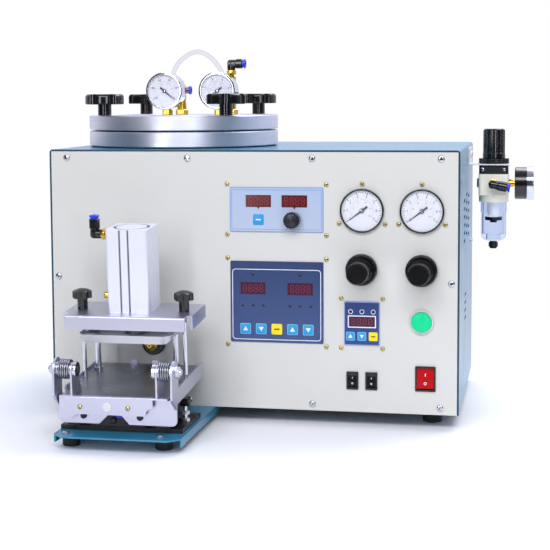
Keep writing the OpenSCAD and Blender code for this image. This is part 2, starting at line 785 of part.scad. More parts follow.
controller_windows = [[-29, 16.2], [28.5, 16.2]];
controller_keys = [for (i = [-2:2]) [i * 19.1, -32.7]];
controller_lamps = [for (s = [-1, 1], i = [-1:1]) [s * 28.8 + i * 12.8, -4.4]];
timer_keys = [for (i = [-1:1]) [i * 13.5, -15.2]];
module controller_panels() color(navy) placed() {
    on_panel(display_col, controller_z) {
        difference() {
            overlay([display_w, controller_h], overlay_depth);
            for (at = controller_windows) window_cut(at, [30.5, 14.4]);
            for (at = controller_lamps) lamp_cut(at, 3.4);
            for (s = [-1, 1]) lamp_cut([s * 28.8, 32.8], 3.4);
        }
        for (at = controller_keys) key_pad(at, 13);
    }
    on_panel(forward_col, timer_z) {
        difference() {
            overlay([timer_w, timer_h], overlay_depth);
            window_cut([0, 2.3], [31, 12]);
            for (at = timer_keys) lamp_cut([at.x, 14.2], 4);
        }
        for (at = timer_keys) key_pad(at, 10.5);
    }
}

gauge_back = 30;
supply_rim_h = 9;
supply_rim_w = 1.6;
module supply_gauge_place()
    facing_right([part_right - supply_rim_h, filter_y, port_z]) children();
module gauge_cases() color(black) placed() {
    for (x = panel_cols) on_panel(x, gauge_z) {
        gauge_rim(gauge_d, gauge_rim_h, gauge_rim_w);
        difference() {
            translate([0, 0, -gauge_back]) cylinder(d = gauge_body_d, h = gauge_back + 0.5);
            translate([0, 0, -2]) cylinder(d = needle_pin_d + 2 * run, h = 4, $fn = 24);
        }
    }
    supply_gauge_place() {
        gauge_rim(supply_gauge_d, supply_rim_h, supply_rim_w);
        translate([0, 0, supply_rim_h - supply_gauge_depth])
            cylinder(d = supply_gauge_d - 1.6, h = supply_gauge_depth - supply_rim_h);
    }
}
module gauge_lenses() color("#eef4f6", 0.3) placed() {
    for (x = panel_cols) on_panel(x, gauge_z) gauge_glass(gauge_d, gauge_rim_h, gauge_rim_w);
    supply_gauge_place() gauge_glass(supply_gauge_d, supply_rim_h, supply_rim_w);
}
zero_left = 217;
zero_right = -40;
module forward_needle() color(black) placed() on_panel(forward_col, gauge_z)
    gauge_needle(gauge_d, gauge_rim_h, gauge_rim_w, zero_left);
module clamp_needle() color(black) placed() on_panel(clamp_col, gauge_z)
    gauge_needle(gauge_d, gauge_rim_h, gauge_rim_w, zero_left);
module supply_needle() color(black) placed() supply_gauge_place()
    gauge_needle(supply_gauge_d, supply_rim_h, supply_rim_w, zero_left);

regulator_shaft_d = 8;
regulator_back = 48;
module regulator_seat() difference() {
    union() {
        disc(ring_nut_d, ring_nut_t, 1.5);
        translate([0, 0, -panel_t]) cylinder(d = neck_d, h = panel_t + 1);
        translate([0, 0, -regulator_back]) cylinder(d = ring_nut_d - 3, h = regulator_back - panel_t);
    }
    translate([0, 0, -16]) cylinder(d = regulator_shaft_d + 2 * run, h = ring_nut_t + 20);
}
bezel_h = 4;
module button_seat() difference() {
    union() {
        disc(bezel_d, bezel_h, 0.6);
        translate([0, 0, -30]) cylinder(d = button_body_d, h = 31);
    }
    translate([0, 0, 0.2]) cylinder(d = lens_d + 2 * gap, h = bezel_h);
    translate([0, 0, -16]) cylinder(d = plunger_d + 2 * run, h = 20);
}
plunger_d = 10;
function rocker_opening(size) = [size.x - 2 * rocker_frame_w, size.y - 2.6 * rocker_frame_w];
module rocker_frame(size) difference() {
    body = rocker_body(size);
    opening = rocker_opening(size);
    union() {
        linear_extrude(rocker_frame_w) round_rect(size, 1);
        translate([-body.x / 2, -body.y / 2, -22]) cube([body.x, body.y, 22]);
    }
    translate([-opening.x / 2, -opening.y / 2, -opening.y / 2]) cube([opening.x, opening.y, opening.y]);
    rocker_pin(rocker_pin_d + 2 * run, size.x);
}
module rocker_pin(d, l) translate([0, 0, -rocker_sink]) rotate([0, 90, 0])
    cylinder(d = d, h = l, center = true);
module power_inlet() difference() {
    union() {
        linear_extrude(inlet_lip) round_rect(inlet_size, 3);
        translate([0, 0, -11]) cube([inlet_size.x - 5, inlet_size.y - 5, 24], center = true);
    }
    translate([0, 0, -16]) linear_extrude(20) round_rect([inlet_size.x - 9, inlet_size.y - 9], 2);
}
module control_bezels() color(black) placed() {
    for (x = panel_cols) on_panel(x, regulator_z) regulator_seat();
    on_panel(clamp_col, button_z) button_seat();
    for (at = rockers) on_panel(at.x, at.y) rocker_frame(rocker_size);
    on_panel(power_x, power_z) rocker_frame(power_size);
    translate([inlet_x, cab_d, inlet_z]) rotate([-90, 0, 0]) power_inlet();
}

// Regulator knob: a grooved sleeve, a smooth collar and a slightly hollow end
module regulator_knob() translate([0, 0, ring_nut_t + gap]) difference() {
    collar = 7;
    union() {
        translate([0, 0, -14]) cylinder(d = regulator_shaft_d, h = 16);
        disc(regulator_knob_d, collar, 0.6);
        translate([0, 0, collar - 0.5])
            grooved_grip(regulator_knob_d - 2, regulator_knob_l - collar - 1.5, 24, 1);
        translate([0, 0, regulator_knob_l - 3]) disc(regulator_knob_d - 2.6, 3, 1.2);
    }
    translate([0, 0, regulator_knob_l - 0.8]) cylinder(d = regulator_knob_d - 8, h = 2);
}
module forward_regulator_knob() color(black) placed() on_panel(forward_col, regulator_z) regulator_knob();
module clamp_regulator_knob() color(black) placed() on_panel(clamp_col, regulator_z) regulator_knob();

module display_knob() color(black) placed()
        on_panel(display_col + display_knob_at.x, gauge_z + display_knob_at.y) {
    translate([0, 0, -12 + overlay_t]) cylinder(d = display_shaft_d, h = 13);
    translate([0, 0, overlay_t + gap]) {
        grooved_grip(display_knob_d, display_knob_l - 1.5, 20, 0.9);
        translate([0, 0, display_knob_l - 2]) disc(display_knob_d - 1.4, 2, 0.9);
    }
}

module green_button() color("#1fd08a") placed() on_panel(clamp_col, button_z) {
    cap_z = button_travel + 0.2 + gap;
    translate([0, 0, cap_z - 14]) cylinder(d = plunger_d, h = 15);
    translate([0, 0, cap_z]) rotate_extrude() {
        square([lens_d / 2, 2.4]);
        intersection() {
            translate([0, 4 - lens_d * 1.4]) circle(lens_d * 1.4, $fn = 96);
            square([lens_d / 2, 4]);
        }
    }
}

// Rocker: tips about an axis across its middle, with the end marked 0 pressed at rest
module rocker(size) {
    opening = rocker_opening(size);
    half = opening.y / 2 - 0.9;
    w = opening.x - 2 * gap;
    rocker_pin(rocker_pin_d, opening.x + 1);
    translate([0, 0, -rocker_sink]) rotate([-rocker_half_throw, 0, 0])
        translate([w / 2, 0, rocker_sink]) rotate([0, -90, 0]) linear_extrude(w)
            polygon([[-1, -half], [2.1, -half], [1.2, 0], [2.1, half], [-1, half], [-4, 3], [-4, -3]]);
}
module forward_rocker() color(black) placed() on_panel(rockers[0].x, rockers[0].y) rocker(rocker_size);
module clamp_rocker() color(black) placed() on_panel(rockers[1].x, rockers[1].y) rocker(rocker_size);
module power_rocker() color("#d8201c") placed() on_panel(power_x, power_z) rocker(power_size);

// Clamp base and slide

base_chamfer = 13;
module base_plate() color(teal) placed() translate([clamp_x + base_shift, 0, -base_t]) {
    half = base_w / 2;
    linear_extrude(base_t) polygon([
        [-half, base_under], [-half, part_front + base_chamfer], [-half + base_chamfer, part_front],
        [half - base_chamfer, part_front], [half, part_front + base_chamfer], [half, base_under]
    ]);
    for (x = [-half, half - base_t])
        translate([x, part_front + base_chamfer, base_t - base_flange_h])
            cube([base_t, base_under - part_front - base_chamfer, base_flange_h - base_t / 2]);
}

stop_top = tray_z - tray_t - side_drop - 0.5;
module slide_base() color(black) placed() translate([clamp_x, 0, 0]) {
    translate([-slide_w / 2, slide_front, 0]) cube([slide_w, slide_rear - slide_front, slide_t]);
    for (s = [-1, 1])
        translate([s * rail_x - rail_w / 2, slide_front + 4, slide_t - 0.5])
            cube([rail_w, slide_rear - slide_front - 8, rail_h + 0.5]);
    translate([stop_x, stop_y, slide_t - 0.5]) {
        cylinder(d = 5, h = stop_top - slide_t - roller_d + 1);
        cylinder(r = stop_half, h = 4.5, $fn = 6);
        translate([0, 0, 9]) cylinder(r = stop_half, h = 4, $fn = 6);
    }
    translate([stop_x - stop_half, stop_y, stop_top - roller_d / 2]) rotate([0, 90, 0])
        cylinder(d = roller_d, h = 2 * stop_half);
}

module forward_cylinder() color(silver) placed() difference() {
    union() {
        to_rear([clamp_x, push_cyl_y, rod_z]) cylinder(d = push_cyl_d, h = push_cyl_l);
        translate([clamp_x - push_cyl_d / 2, push_cyl_y + 6, chassis_t])
            cube([push_cyl_d, push_cyl_l - 12, rod_z - chassis_t]);
    }
    to_rear([clamp_x, push_cyl_y - 1, rod_z]) cylinder(d = push_rod_d + 2 * run, h = push_cyl_l - 7);
}

rod_inside = 30;
sheet_head = [7, 3.5];
block_head = [-5, 15];
module carriage_block() color(black) placed() translate([clamp_x, 0, 0]) {
    difference() {
        translate([-block_x, block_front, block_z])
            cube([2 * block_x, block_rear - block_front, block_top - block_z]);
        for (s = [-1, 1])
            translate([s * rail_x - rail_w / 2 - gap, block_front - 1, block_z - 1])
                cube([rail_w + 2 * gap, block_rear - block_front + 2, rail_top + gap - block_z + 1]);
    }
    to_rear([0, block_rear - 0.5, rod_z]) cylinder(d = push_rod_d, h = rod_inside - block_rear);
    translate([block_head.x, block_front, block_head.y]) rotate([90, 0, 0])
        pan_head(sheet_head.x, sheet_head.y);
}

ear_low = 30;
sheet_top = 40;
sheet_low = 11;
sheet_heads = [-39, 26.6];
module ear_outline() {
    translate([pivot_y, pivot_z]) circle(ear_r);
    polygon([
        [pivot_y - ear_r, pivot_z], [pivot_y - ear_r, sheet_top + 4], [block_front - carriage_t, ear_low],
        [block_front, ear_low], [pivot_y + ear_r, sheet_top + 4], [pivot_y + ear_r, pivot_z]
    ]);
}
module carriage_bracket() color(silver) placed() translate([clamp_x, 0, 0]) {
    half = ear_x + carriage_t;
    translate([0, block_front, 0]) rotate([90, 0, 0]) linear_extrude(carriage_t) difference() {
        translate([0, (sheet_low + sheet_top) / 2]) round_rect([2 * half, sheet_top - sheet_low], 6);
        polygon([[-22, sheet_low - 1], [-10, sheet_low + 11], [4, sheet_low + 11], [15, sheet_low - 1]]);
    }
    for (x = [-half, ear_x]) difference() {
        translate([x, 0, 0]) rotate([90, 0, 90]) linear_extrude(carriage_t) ear_outline();
        translate([x - 1, pivot_y, pivot_z]) rotate([0, 90, 0])
            cylinder(d = bolt_d + 2 * run, h = carriage_t + 2);
    }
    for (x = sheet_heads) translate([x, block_front - carriage_t, 20]) rotate([90, 0, 0])
        pan_head(sheet_head.x, sheet_head.y);
}

// Bolt with its head inside the tray lug, its sleeve, and a nut outside the ear, on the right side
bolt_head_t = 4;
bolt_head_d = 17;
nut_t = 5.5;
bolt_in = lug_x - lug_t - gap - bolt_head_t;
module pivot_set() {
    out = ear_x + carriage_t;
    translate([bolt_in, 0, 0]) rotate([0, 90, 0]) {
        cylinder(d = bolt_d, h = out + nut_t + 2 - bolt_in);
        cylinder(d = bolt_head_d, h = bolt_head_t);
    }
    translate([lug_x + gap, 0, 0]) rotate([0, 90, 0])
        ring(sleeve_d / 2, bolt_d / 2 - 0.5, ear_x - lug_x - gap);
    translate([out, 0, 0]) rotate([0, 90, 0]) cylinder(d = bolt_d + 5.5, h = nut_t, $fn = 6);
}
module pivot_hardware() color(silver) placed() translate([clamp_x, pivot_y, pivot_z]) {
    pivot_set();
    mirror([1, 0, 0]) pivot_set();
}

// Torsion spring: a helix along X with a leg at each end, each leg one stretch along its tangent
leg_l = 16;
spring_start = lug_x + gap + wire_d / 2 + 0.2;
function helix_at(i) = let (a = 360 * i / spring_steps)
    [spring_start + spring_pitch * i / spring_steps, spring_r * cos(a), spring_r * sin(a)];
function spring_path() = let (
    last = floor(spring_turns * spring_steps),
    coil = [for (i = [0:last]) helix_at(i)],
    a_in = unit(coil[0] - coil[1]),
    a_out = unit(coil[last] - coil[last - 1])
) concat(
    [for (l = [leg_l, leg_l / 2]) coil[0] + l * [0, a_in.y, a_in.z]],
    coil,
    [for (l = [leg_l / 2, leg_l]) coil[last] + l * [0, a_out.y, a_out.z]]
);
echo(spring_gap = self_gap(spring_path(), 5, wire_d));
module torsion_springs() color(silver) placed() translate([clamp_x, pivot_y, pivot_z]) {
    swept_tube(spring_path(), wire_d / 2, 6, [1, 0, 0]);
    mirror([1, 0, 0]) swept_tube(spring_path(), wire_d / 2, 6, [1, 0, 0]);
}

// Press frame: tray, posts, top plate, cylinder and press plate

front_left = -65;
front_right = 43;
front_drop = 21;
module tray_front_flange()
    translate([0, -tray_front + tray_t, tray_z]) rotate([90, 0, 0]) linear_extrude(tray_t) difference() {
        union() {
            translate([front_left, -front_drop]) square([front_right - front_left, front_drop]);
            translate([front_left, -front_drop]) polygon([[0, 1], [0, -6.5], [10, -6.5], [22, 1]]);
        }
        translate([front_right, -front_drop]) circle(9);
        translate([-9.5, -12]) circle(4.4);
    }
tab_x = [-20, 7];
tab_h = 5;
module mould_tray() color(silver) placed() leaning() translate([clamp_x, 0, 0]) {
    depth = tray_front - tray_rear;
    wide_front = pivot_y + ear_r + 4;
    translate([-lug_x - 10, -tray_front, tray_z - tray_t]) cube([2 * lug_x + 20, depth, tray_t]);
    translate([-tray_x, wide_front, tray_z - tray_t]) cube([2 * tray_x, -tray_rear - wide_front, tray_t]);
    translate([front_left, -tray_front, tray_z - tray_t]) cube([10, ear_r, tray_t]);
    tray_front_flange();
    for (x = [-tray_x, tray_x - tray_t])
        translate([x, wide_front, tray_z - tray_t - side_drop])
            cube([tray_t, -tray_rear - wide_front, side_drop + tray_t + side_rise]);
    for (s = [-1, 1]) tray_lug(s);
    for (x = tab_x) translate([x - 4, -tray_rear - tray_t, tray_z - 0.5]) cube([8, tray_t, tab_h + 0.5]);
}
module tray_lug(s) difference() {
    x = s > 0 ? lug_x - lug_t : -lug_x;
    translate([x, 0, 0]) rotate([90, 0, 90]) linear_extrude(lug_t) {
        translate([pivot_y, pivot_z]) circle(lug_r);
        polygon([
            [pivot_y - lug_r, pivot_z], [pivot_y - lug_r, tray_z - 0.5],
            [pivot_y + lug_r + 16, tray_z - 0.5], [pivot_y + lug_r, pivot_z]
        ]);
    }
    translate([x - 1, pivot_y, pivot_z]) rotate([0, 90, 0]) cylinder(d = bolt_d + 2 * run, h = lug_t + 2);
}

top_under = top_z - top_t;
module guide_posts() color(silver) placed() leaning() translate([clamp_x, 0, 0]) {
    for (s = [-1, 1]) {
        translate([guide_shift + s * guide_x, guide_y, tray_z]) {
            cylinder(d = guide_d, h = top_under - tray_z);
            cylinder(d = guide_d + 4, h = 3);
        }
        translate([s * post_knob_x, post_knob_y, tray_z]) cylinder(d = post_stud_d, h = top_z + 6 - tray_z);
    }
}

module top_plate() color(silver) placed() leaning() translate([clamp_x, 0, 0]) difference() {
    side_front = top_front + top_notch;
    union() {
        translate([-top_x, side_front, top_under]) cube([2 * top_x, top_rear - side_front, top_t]);
        translate([-top_x + 6, top_front, top_under]) cube([2 * top_x - 12, top_notch + 1, top_t]);
        translate([-top_x + 6, top_front, top_z - top_flange_h]) cube([2 * top_x - 12, top_t, top_flange_h]);
        for (x = [-top_x, top_x - top_t])
            translate([x, side_front, top_z - top_flange_h])
                cube([top_t, top_rear - side_front, top_flange_h]);
    }
    for (s = [-1, 1])
        translate([s * post_knob_x, post_knob_y, top_under - 1])
            cylinder(d = post_stud_d + 2 * gap, h = top_t + 2);
    translate([0, cyl_y, top_under - 1]) cylinder(d = rod_d + 2 * gap, h = top_t + 2);
}

// Profiled aluminium tube with sensor grooves on each side
module cylinder_profile() difference() {
    round_rect([cyl_w, cyl_w], 3);
    for (a = [0:90:270], x = [-8, 2]) rotate(a) translate([x, -cyl_w / 2]) circle(1.1, $fn = 24);
}
module clamp_cylinder() color("#eef0f3") placed() leaning() translate([clamp_x, cyl_y, top_z]) difference() {
    linear_extrude(cyl_l) cylinder_profile();
    translate([0, 0, cyl_cap]) cylinder(d = cyl_bore, h = cyl_l - 3 * cyl_cap);
    translate([0, 0, -1]) cylinder(d = rod_d + 2 * run, h = cyl_cap + 2);
    translate([0, 0, cyl_l - 2]) ring(cyl_bore / 2 + 1, cyl_bore / 2 - 2, 3);
    translate([-cyl_w / 2 - 1, 0, port_drop]) rotate([0, 90, 0]) cylinder(d = nipple_d + 2 * run, h = 5);
    translate([-cyl_w / 2 - 1, 0, low_port]) rotate([0, 90, 0]) cylinder(d = nipple_d + 2 * run, h = 5);
}
port_drop = cyl_l - 9;
low_port = 16;
nipple_d = 8;

// Push-in elbow: a nipple along +X, a body that turns to +Z, and a release collar with the tube's bore
elbow_d = 12.5;
elbow_up = 18;
collar_h = 4;
module push_elbow(reach) difference() {
    union() {
        rotate([0, 90, 0]) cylinder(d = nipple_d, h = reach);
        rotate([0, 90, 0]) cylinder(d = elbow_d - 2, h = reach - 4);
        sphere(d = elbow_d - 0.2);
        cylinder(d = elbow_d, h = elbow_up);
        translate([0, 0, elbow_up - 0.5]) cylinder(d = elbow_d - 3, h = collar_h / 2 + 0.5);
        translate([0, 0, elbow_up + collar_h / 2]) cylinder(d = elbow_d - 0.5, h = collar_h / 2);
    }
    translate([0, 0, elbow_up + collar_h - port_depth]) cylinder(d = port_d, h = port_depth + 1);
}
port_depth = 14;
module cylinder_fittings() color(black) placed() leaning() translate([clamp_x, cyl_y, top_z]) {
    translate([-cyl_w / 2 - cyl_elbow_reach + 3, 0, port_drop]) push_elbow(cyl_elbow_reach);
    translate([-cyl_w / 2 - low_reach, 0, low_port]) rotate([0, 90, 0]) {
        cylinder(d = nipple_d, h = low_reach + 3);
        translate([0, 0, low_reach - low_hex_t]) cylinder(d = 11, h = low_hex_t, $fn = 6);
    }
}
low_reach = 11.5;
low_hex_t = 5;
cyl_elbow_reach = 23;
elbow_reach = 17;

module press_plate() color(silver) placed() leaning() translate([clamp_x, cyl_y, 0]) {
    middle = (press_front + press_rear) / 2 - cyl_y;
    size = [2 * press_x, press_rear - press_front];
    piston_z = top_z + cyl_l - 2 * cyl_cap - piston_t - 2;
    translate([press_shift, middle, press_z]) difference() {
        intersection() {
            linear_extrude(press_h) round_rect(size, 12);
            press_trough(size);
        }
        translate([0, 0, press_web]) linear_extrude(press_h) round_rect([size.x - 14, size.y - 14], 8);
    }
    translate([0, 0, press_z + press_web - 0.5]) cylinder(d = 24, h = 4.5);
    translate([0, 0, press_z + press_web - 0.5]) cylinder(d = rod_d, h = piston_z - press_z - press_web + 1);
    translate([0, 0, piston_z]) cylinder(d = cyl_bore - 2 * run, h = piston_t);
}
// Dished block that gives the press plate its rounded, turned up sides
module press_trough(size) translate([0, size.y / 2 + 1, 0]) rotate([90, 0, 0]) linear_extrude(size.y + 2) {
    bend = press_h * 0.9;
    translate([-size.x / 2 + bend, 0]) square([size.x - 2 * bend, press_h]);
    translate([-size.x / 2, bend]) square([size.x, press_h - bend + 0.01]);
    for (s = [-1, 1]) translate([s * (size.x / 2 - bend), bend]) intersection() {
        circle(bend);
        translate([-bend, -bend]) square([2 * bend, bend]);
    }
}

module post_knob(s) leaning() translate([clamp_x + s * post_knob_x, post_knob_y, top_z + gap]) difference() {
    union() {
        cylinder(d = post_stem_d, h = post_stem_l + 1);
        translate([0, 0, post_stem_l]) intersection() {
            linear_extrude(post_knob_t) star_plan(post_knob_d, 6);
            translate([0, 0, post_knob_t - post_crown_r]) sphere(post_crown_r);
        }
    }
    translate([0, 0, -1]) cylinder(d = post_stud_d + 2 * run, h = 10);
}
module post_knob_left() color(black) placed() post_knob(-1);
module post_knob_right() color(black) placed() post_knob(1);

// Lid

module tank_lid() color(silver) placed() difference() {
    translate([tank_x, tank_y, lid_z]) disc(flange_d, lid_t, 1);
    at_studs() translate([0, 0, lid_z - 1]) cylinder(d = stud_hole_d, h = lid_t + 2);
}
module lid_knob(i) translate([tank_x, tank_y, 0]) rotate(knob_angles[i] + stud_turn)
    translate([stud_circle / 2, 0, lid_top + gap]) {
        star_knob(lid_knob_d, lid_knob_t, lid_stem_d, lid_stem_l, 6);
        stud_l = gap + lid_t + seal_t + stud_depth;
        translate([0, 0, -stud_l]) cylinder(d = stud_d, h = stud_l + 1);
    }
module lid_knob_1() color(black) placed() lid_knob(0);
module lid_knob_2() color(black) placed() lid_knob(1);
module lid_knob_3() color(black) placed() lid_knob(2);
module lid_knob_4() color(black) placed() lid_knob(3);

lid_rim_h = 7;
lid_rim_w = 2;
lid_gauges = [vacuum_gauge_x, pressure_gauge_x];
module lid_gauge_place(x) translate([tank_x + x, lid_gauge_y, gauge_base_z]) rotate([90, 0, 0]) children();
module lid_gauge_cases() color("#e3e6ea") placed() for (x = lid_gauges) lid_gauge_place(x) {
    translate([0, 0, -lid_rim_h]) gauge_rim(lid_gauge_d, lid_rim_h, lid_rim_w);
    translate([0, 0, -lid_gauge_depth]) cylinder(d = lid_gauge_d - 1.6, h = lid_gauge_depth - lid_rim_h);
}
module lid_gauge_lenses() color("#eef4f6", 0.3) placed() for (x = lid_gauges) lid_gauge_place(x)
    translate([0, 0, -lid_rim_h]) gauge_glass(lid_gauge_d, lid_rim_h, lid_rim_w);
module vacuum_needle() color(black) placed() lid_gauge_place(vacuum_gauge_x)
    translate([0, 0, -lid_rim_h]) gauge_needle(lid_gauge_d, lid_rim_h, lid_rim_w, zero_right);
module pressure_needle() color(black) placed() lid_gauge_place(pressure_gauge_x)
    translate([0, 0, -lid_rim_h]) gauge_needle(lid_gauge_d, lid_rim_h, lid_rim_w, zero_left);

stub_d = 9;
arm_d = 8;
stem_d = 10;
stem_hex_d = 14;
gauge_stem_y = lid_gauge_y + lid_gauge_depth * 0.62;
hex_h = 7;
module gauge_stem(x) difference() {
    translate([tank_x + x, gauge_stem_y, lid_top]) {
        cylinder(d = stem_hex_d, h = hex_h, $fn = 6);
        cylinder(d = stem_d, h = lid_gauge_rise);
    }
    translate([tank_x + x, lid_gauge_y - 1, gauge_base_z]) rotate([-90, 0, 0])
        cylinder(d = lid_gauge_d - 1.6 + 2 * run, h = lid_gauge_depth + 2);
}
// Brass post on the lid with an arm that carries the end of the air tube
module lid_post(x, tube_x, top) {
    translate([tank_x + x, tube_y, lid_top]) {
        cylinder(d = post_d + 5, h = hex_h, $fn = 6);
        cylinder(d = post_d, h = top - lid_top);
    }
    translate([tank_x + tube_x, tube_y, arm_z]) {
        rotate([0, 90, 0]) cylinder(d = arm_d, h = x - tube_x);
        translate([0, 0, -5]) cylinder(d = tube_d + 4, h = tube_end_z - arm_z + 5);
    }
}
module lid_fittings() color(brass) placed() {
    for (x = lid_gauges) gauge_stem(x);
    lid_post(valve_x, tube_route[0].x, lid_top + valve_post_h);
    lid_post(elbow_x, tube_route[len(tube_route) - 1].x, lid_top + elbow_post_h);
    translate([tank_x + valve_x + post_d / 2 - 1, tube_y, lid_top + stub_up]) rotate([0, 90, 0]) {
        cylinder(d = stub_d, h = 6);
        translate([0, 0, 5]) cylinder(d = stub_d + 2, h = 3);
    }
    translate([tank_x + elbow_x, tube_y, lid_top + elbow_post_h + elbow_rise]) rotate([0, 90, 0]) push_elbow_head();
}
// Elbow on the right post: its foot points down to the post, its collar to the right
elbow_rise = 16;
valve_post_h = 38;
elbow_post_h = 50;
stub_up = 32;
module push_elbow_head() difference() {
    union() {
        sphere(d = elbow_d - 0.2);
        cylinder(d = elbow_d, h = elbow_up - 3);
        translate([0, 0, elbow_up - 3.5]) cylinder(d = elbow_d - 3, h = collar_h / 2 + 0.5);
        translate([0, 0, elbow_up - 3 + collar_h / 2]) cylinder(d = elbow_d - 0.5, h = collar_h / 2);
        rotate([0, 90, 0]) cylinder(d = elbow_d - 2, h = elbow_rise + 1);
    }
    translate([0, 0, elbow_up - 3 + collar_h - port_depth]) cylinder(d = port_d, h = port_depth + 1);
}
tube_points = [for (p = tube_route) [tank_x + p.x, tube_y, lid_top + p.y]];
module air_tube() color("#e8eef0", 0.6) placed() swept_tube(tube_points, tube_d / 2, 10, [0, 1, 0]);

// Filter regulator on the right side

module filter_bracket() color("#e9e9e6") placed() difference() {
    union() {
        translate([cab_w, filter_y - bracket_half, bracket_z]) {
            cube([filter_out + bracket_half, 2 * bracket_half, bracket_t]);
            cube([bracket_t, bracket_plate.x, bracket_plate.y]);
        }
    }
    translate([filter_x, filter_y, bracket_z - 1]) cylinder(d = filter_neck_d + 2 * gap, h = bracket_t + 2);
}
module filter_body() color("#e6e4d8") placed() translate([filter_x, filter_y, 0]) difference() {
    union() {
        translate([0, 0, filter_z + 9]) linear_extrude(filter_h - 9) round_rect([filter_w, filter_w], 4);
        translate([0, 0, filter_z]) cylinder(d = filter_w, h = 10);
    }
    for (a = [0:90:270]) translate([0, 0, port_z]) rotate([0, 0, a]) rotate([0, 90, 0])
        translate([0, 0, filter_w / 2 - 5]) cylinder(d = nipple_d + 2 * run, h = 10);
    translate([0, 0, filter_z - 1]) cylinder(d = 5 + 2 * run, h = 7);
}
module filter_bonnet() color(black) placed() translate([filter_x, filter_y, body_top]) {
    linear_extrude(bonnet_h) round_rect([filter_w - 1, filter_w - 1], 4);
    cylinder(d = filter_neck_d, h = bonnet_h + bracket_t + filter_nut_t);
    translate([0, 0, bonnet_h + bracket_t]) grooved_grip(filter_nut_d, filter_nut_t, 12, 2);
    cylinder(d = spigot_d, h = bonnet_h + bracket_t + filter_nut_t + spigot_l);
}
module filter_knob() color(black) placed() translate([filter_x, filter_y, knob_base_z]) difference() {
    union() {
        disc(filter_knob_d + 1, 7, 0.5);
        translate([0, 0, 6.5]) grooved_grip(filter_knob_d, filter_knob_h - 8, 20, 1.2);
        translate([0, 0, filter_knob_h - 2]) disc(filter_knob_d - 2, 2, 1);
    }
    translate([0, 0, -1]) cylinder(d = spigot_d + 2 * run, h = spigot_l + 2);
}
bowl_dome = 9;
drain_h = 10;
module bowl_outline(r, shrink) {
    translate([0, -bowl_l + bowl_dome]) square([r, bowl_l - bowl_dome + shrink]);
    translate([0, -bowl_l + shrink]) square([r - bowl_dome, bowl_dome + 1]);
    translate([r - bowl_dome, -bowl_l + bowl_dome]) intersection() {
        circle(bowl_dome - shrink);
        translate([0, -bowl_dome]) square(bowl_dome);
    }
}
module filter_bowl() color("#d6e4ee", 0.4) placed() translate([filter_x, filter_y, filter_z]) difference() {
    union() {
        rotate_extrude() bowl_outline(bowl_d / 2, 0);
        for (i = [0:11]) rotate(30 * i) translate([bowl_d / 2 - 0.5, -1, -14]) cube([1.5, 2, 14]);
        translate([0, 0, -bowl_l - drain_h]) cylinder(d = 9, h = drain_h + bowl_wall);
        translate([0, 0, -bowl_l - drain_h + 2]) cylinder(d = 12, h = 6, $fn = 12);
    }
    translate([0, 0, -bowl_l + bowl_wall]) cylinder(r = bowl_d / 2 - bowl_wall - 5, h = 8);
    translate([0, 0, -bowl_l + bowl_dome]) cylinder(r = bowl_d / 2 - bowl_wall, h = bowl_l);
}
module filter_element() color("#f2f2ee") placed() translate([filter_x, filter_y, filter_z]) {
    translate([0, 0, -20]) cylinder(d = 15, h = 20);
    translate([0, 0, -24]) cylinder(d = 22, h = 4.5);
    translate([0, 0, -27]) cylinder(d = 9, h = 4);
    translate([0, 0, -1]) cylinder(d = 5, h = 7);
}
module filter_fittings() color(black) placed() translate([filter_x, filter_y, port_z]) {
    half = filter_w / 2;
    rotate([0, 90, 0]) translate([0, 0, half - 4]) cylinder(d = nipple_d, h = nipple_l + 4);
    for (a = [90, 180]) rotate([0, 0, a]) rotate([0, 90, 0]) translate([0, 0, half - 4]) {
        cylinder(d = nipple_d, h = 5);
        translate([0, 0, 4]) cylinder(d = 12, h = 2.5, $fn = 6);
    }
    translate([0, -half - elbow_reach + 3, 0]) rotate([0, 0, 90]) rotate([elbow_turn + 90, 0, 0])
        push_elbow(elbow_reach);
}

cabinet_shell();
front_panel();
rear_chassis();
rubber_feet();
steel_screws();
brass_screws();
wax_tank();
heater_band();
vacuum_unit();
tank_gaskets();
nozzle_insulator();
injection_nozzle();
display_panel();
controller_panels();
gauge_cases();
gauge_lenses();
control_bezels();
forward_needle();
clamp_needle();
supply_needle();
forward_regulator_knob();
clamp_regulator_knob();
display_knob();
green_button();
forward_rocker();
clamp_rocker();
power_rocker();
base_plate();
slide_base();
forward_cylinder();
filter_bracket();
filter_body();
filter_bonnet();
filter_bowl();
filter_element();
filter_fittings();
filter_knob();
tank_lid();
lid_gauge_cases();
lid_gauge_lenses();
lid_fittings();
air_tube();
vacuum_needle();
pressure_needle();
lid_knob_1();
lid_knob_2();
lid_knob_3();
lid_knob_4();
carriage_block();
carriage_bracket();
torsion_springs();
pivot_hardware();
mould_tray();
guide_posts();
top_plate();
clamp_cylinder();
cylinder_fittings();
press_plate();
post_knob_left();
post_knob_right();
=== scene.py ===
"""Looks of a vacuum wax injector with an automatic mould clamp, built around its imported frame."""

import json
import logging
import math
from dataclasses import dataclass
from enum import Enum
from typing import Callable, Iterable, Sequence

import bmesh
import bpy
from mathutils import Matrix, Vector

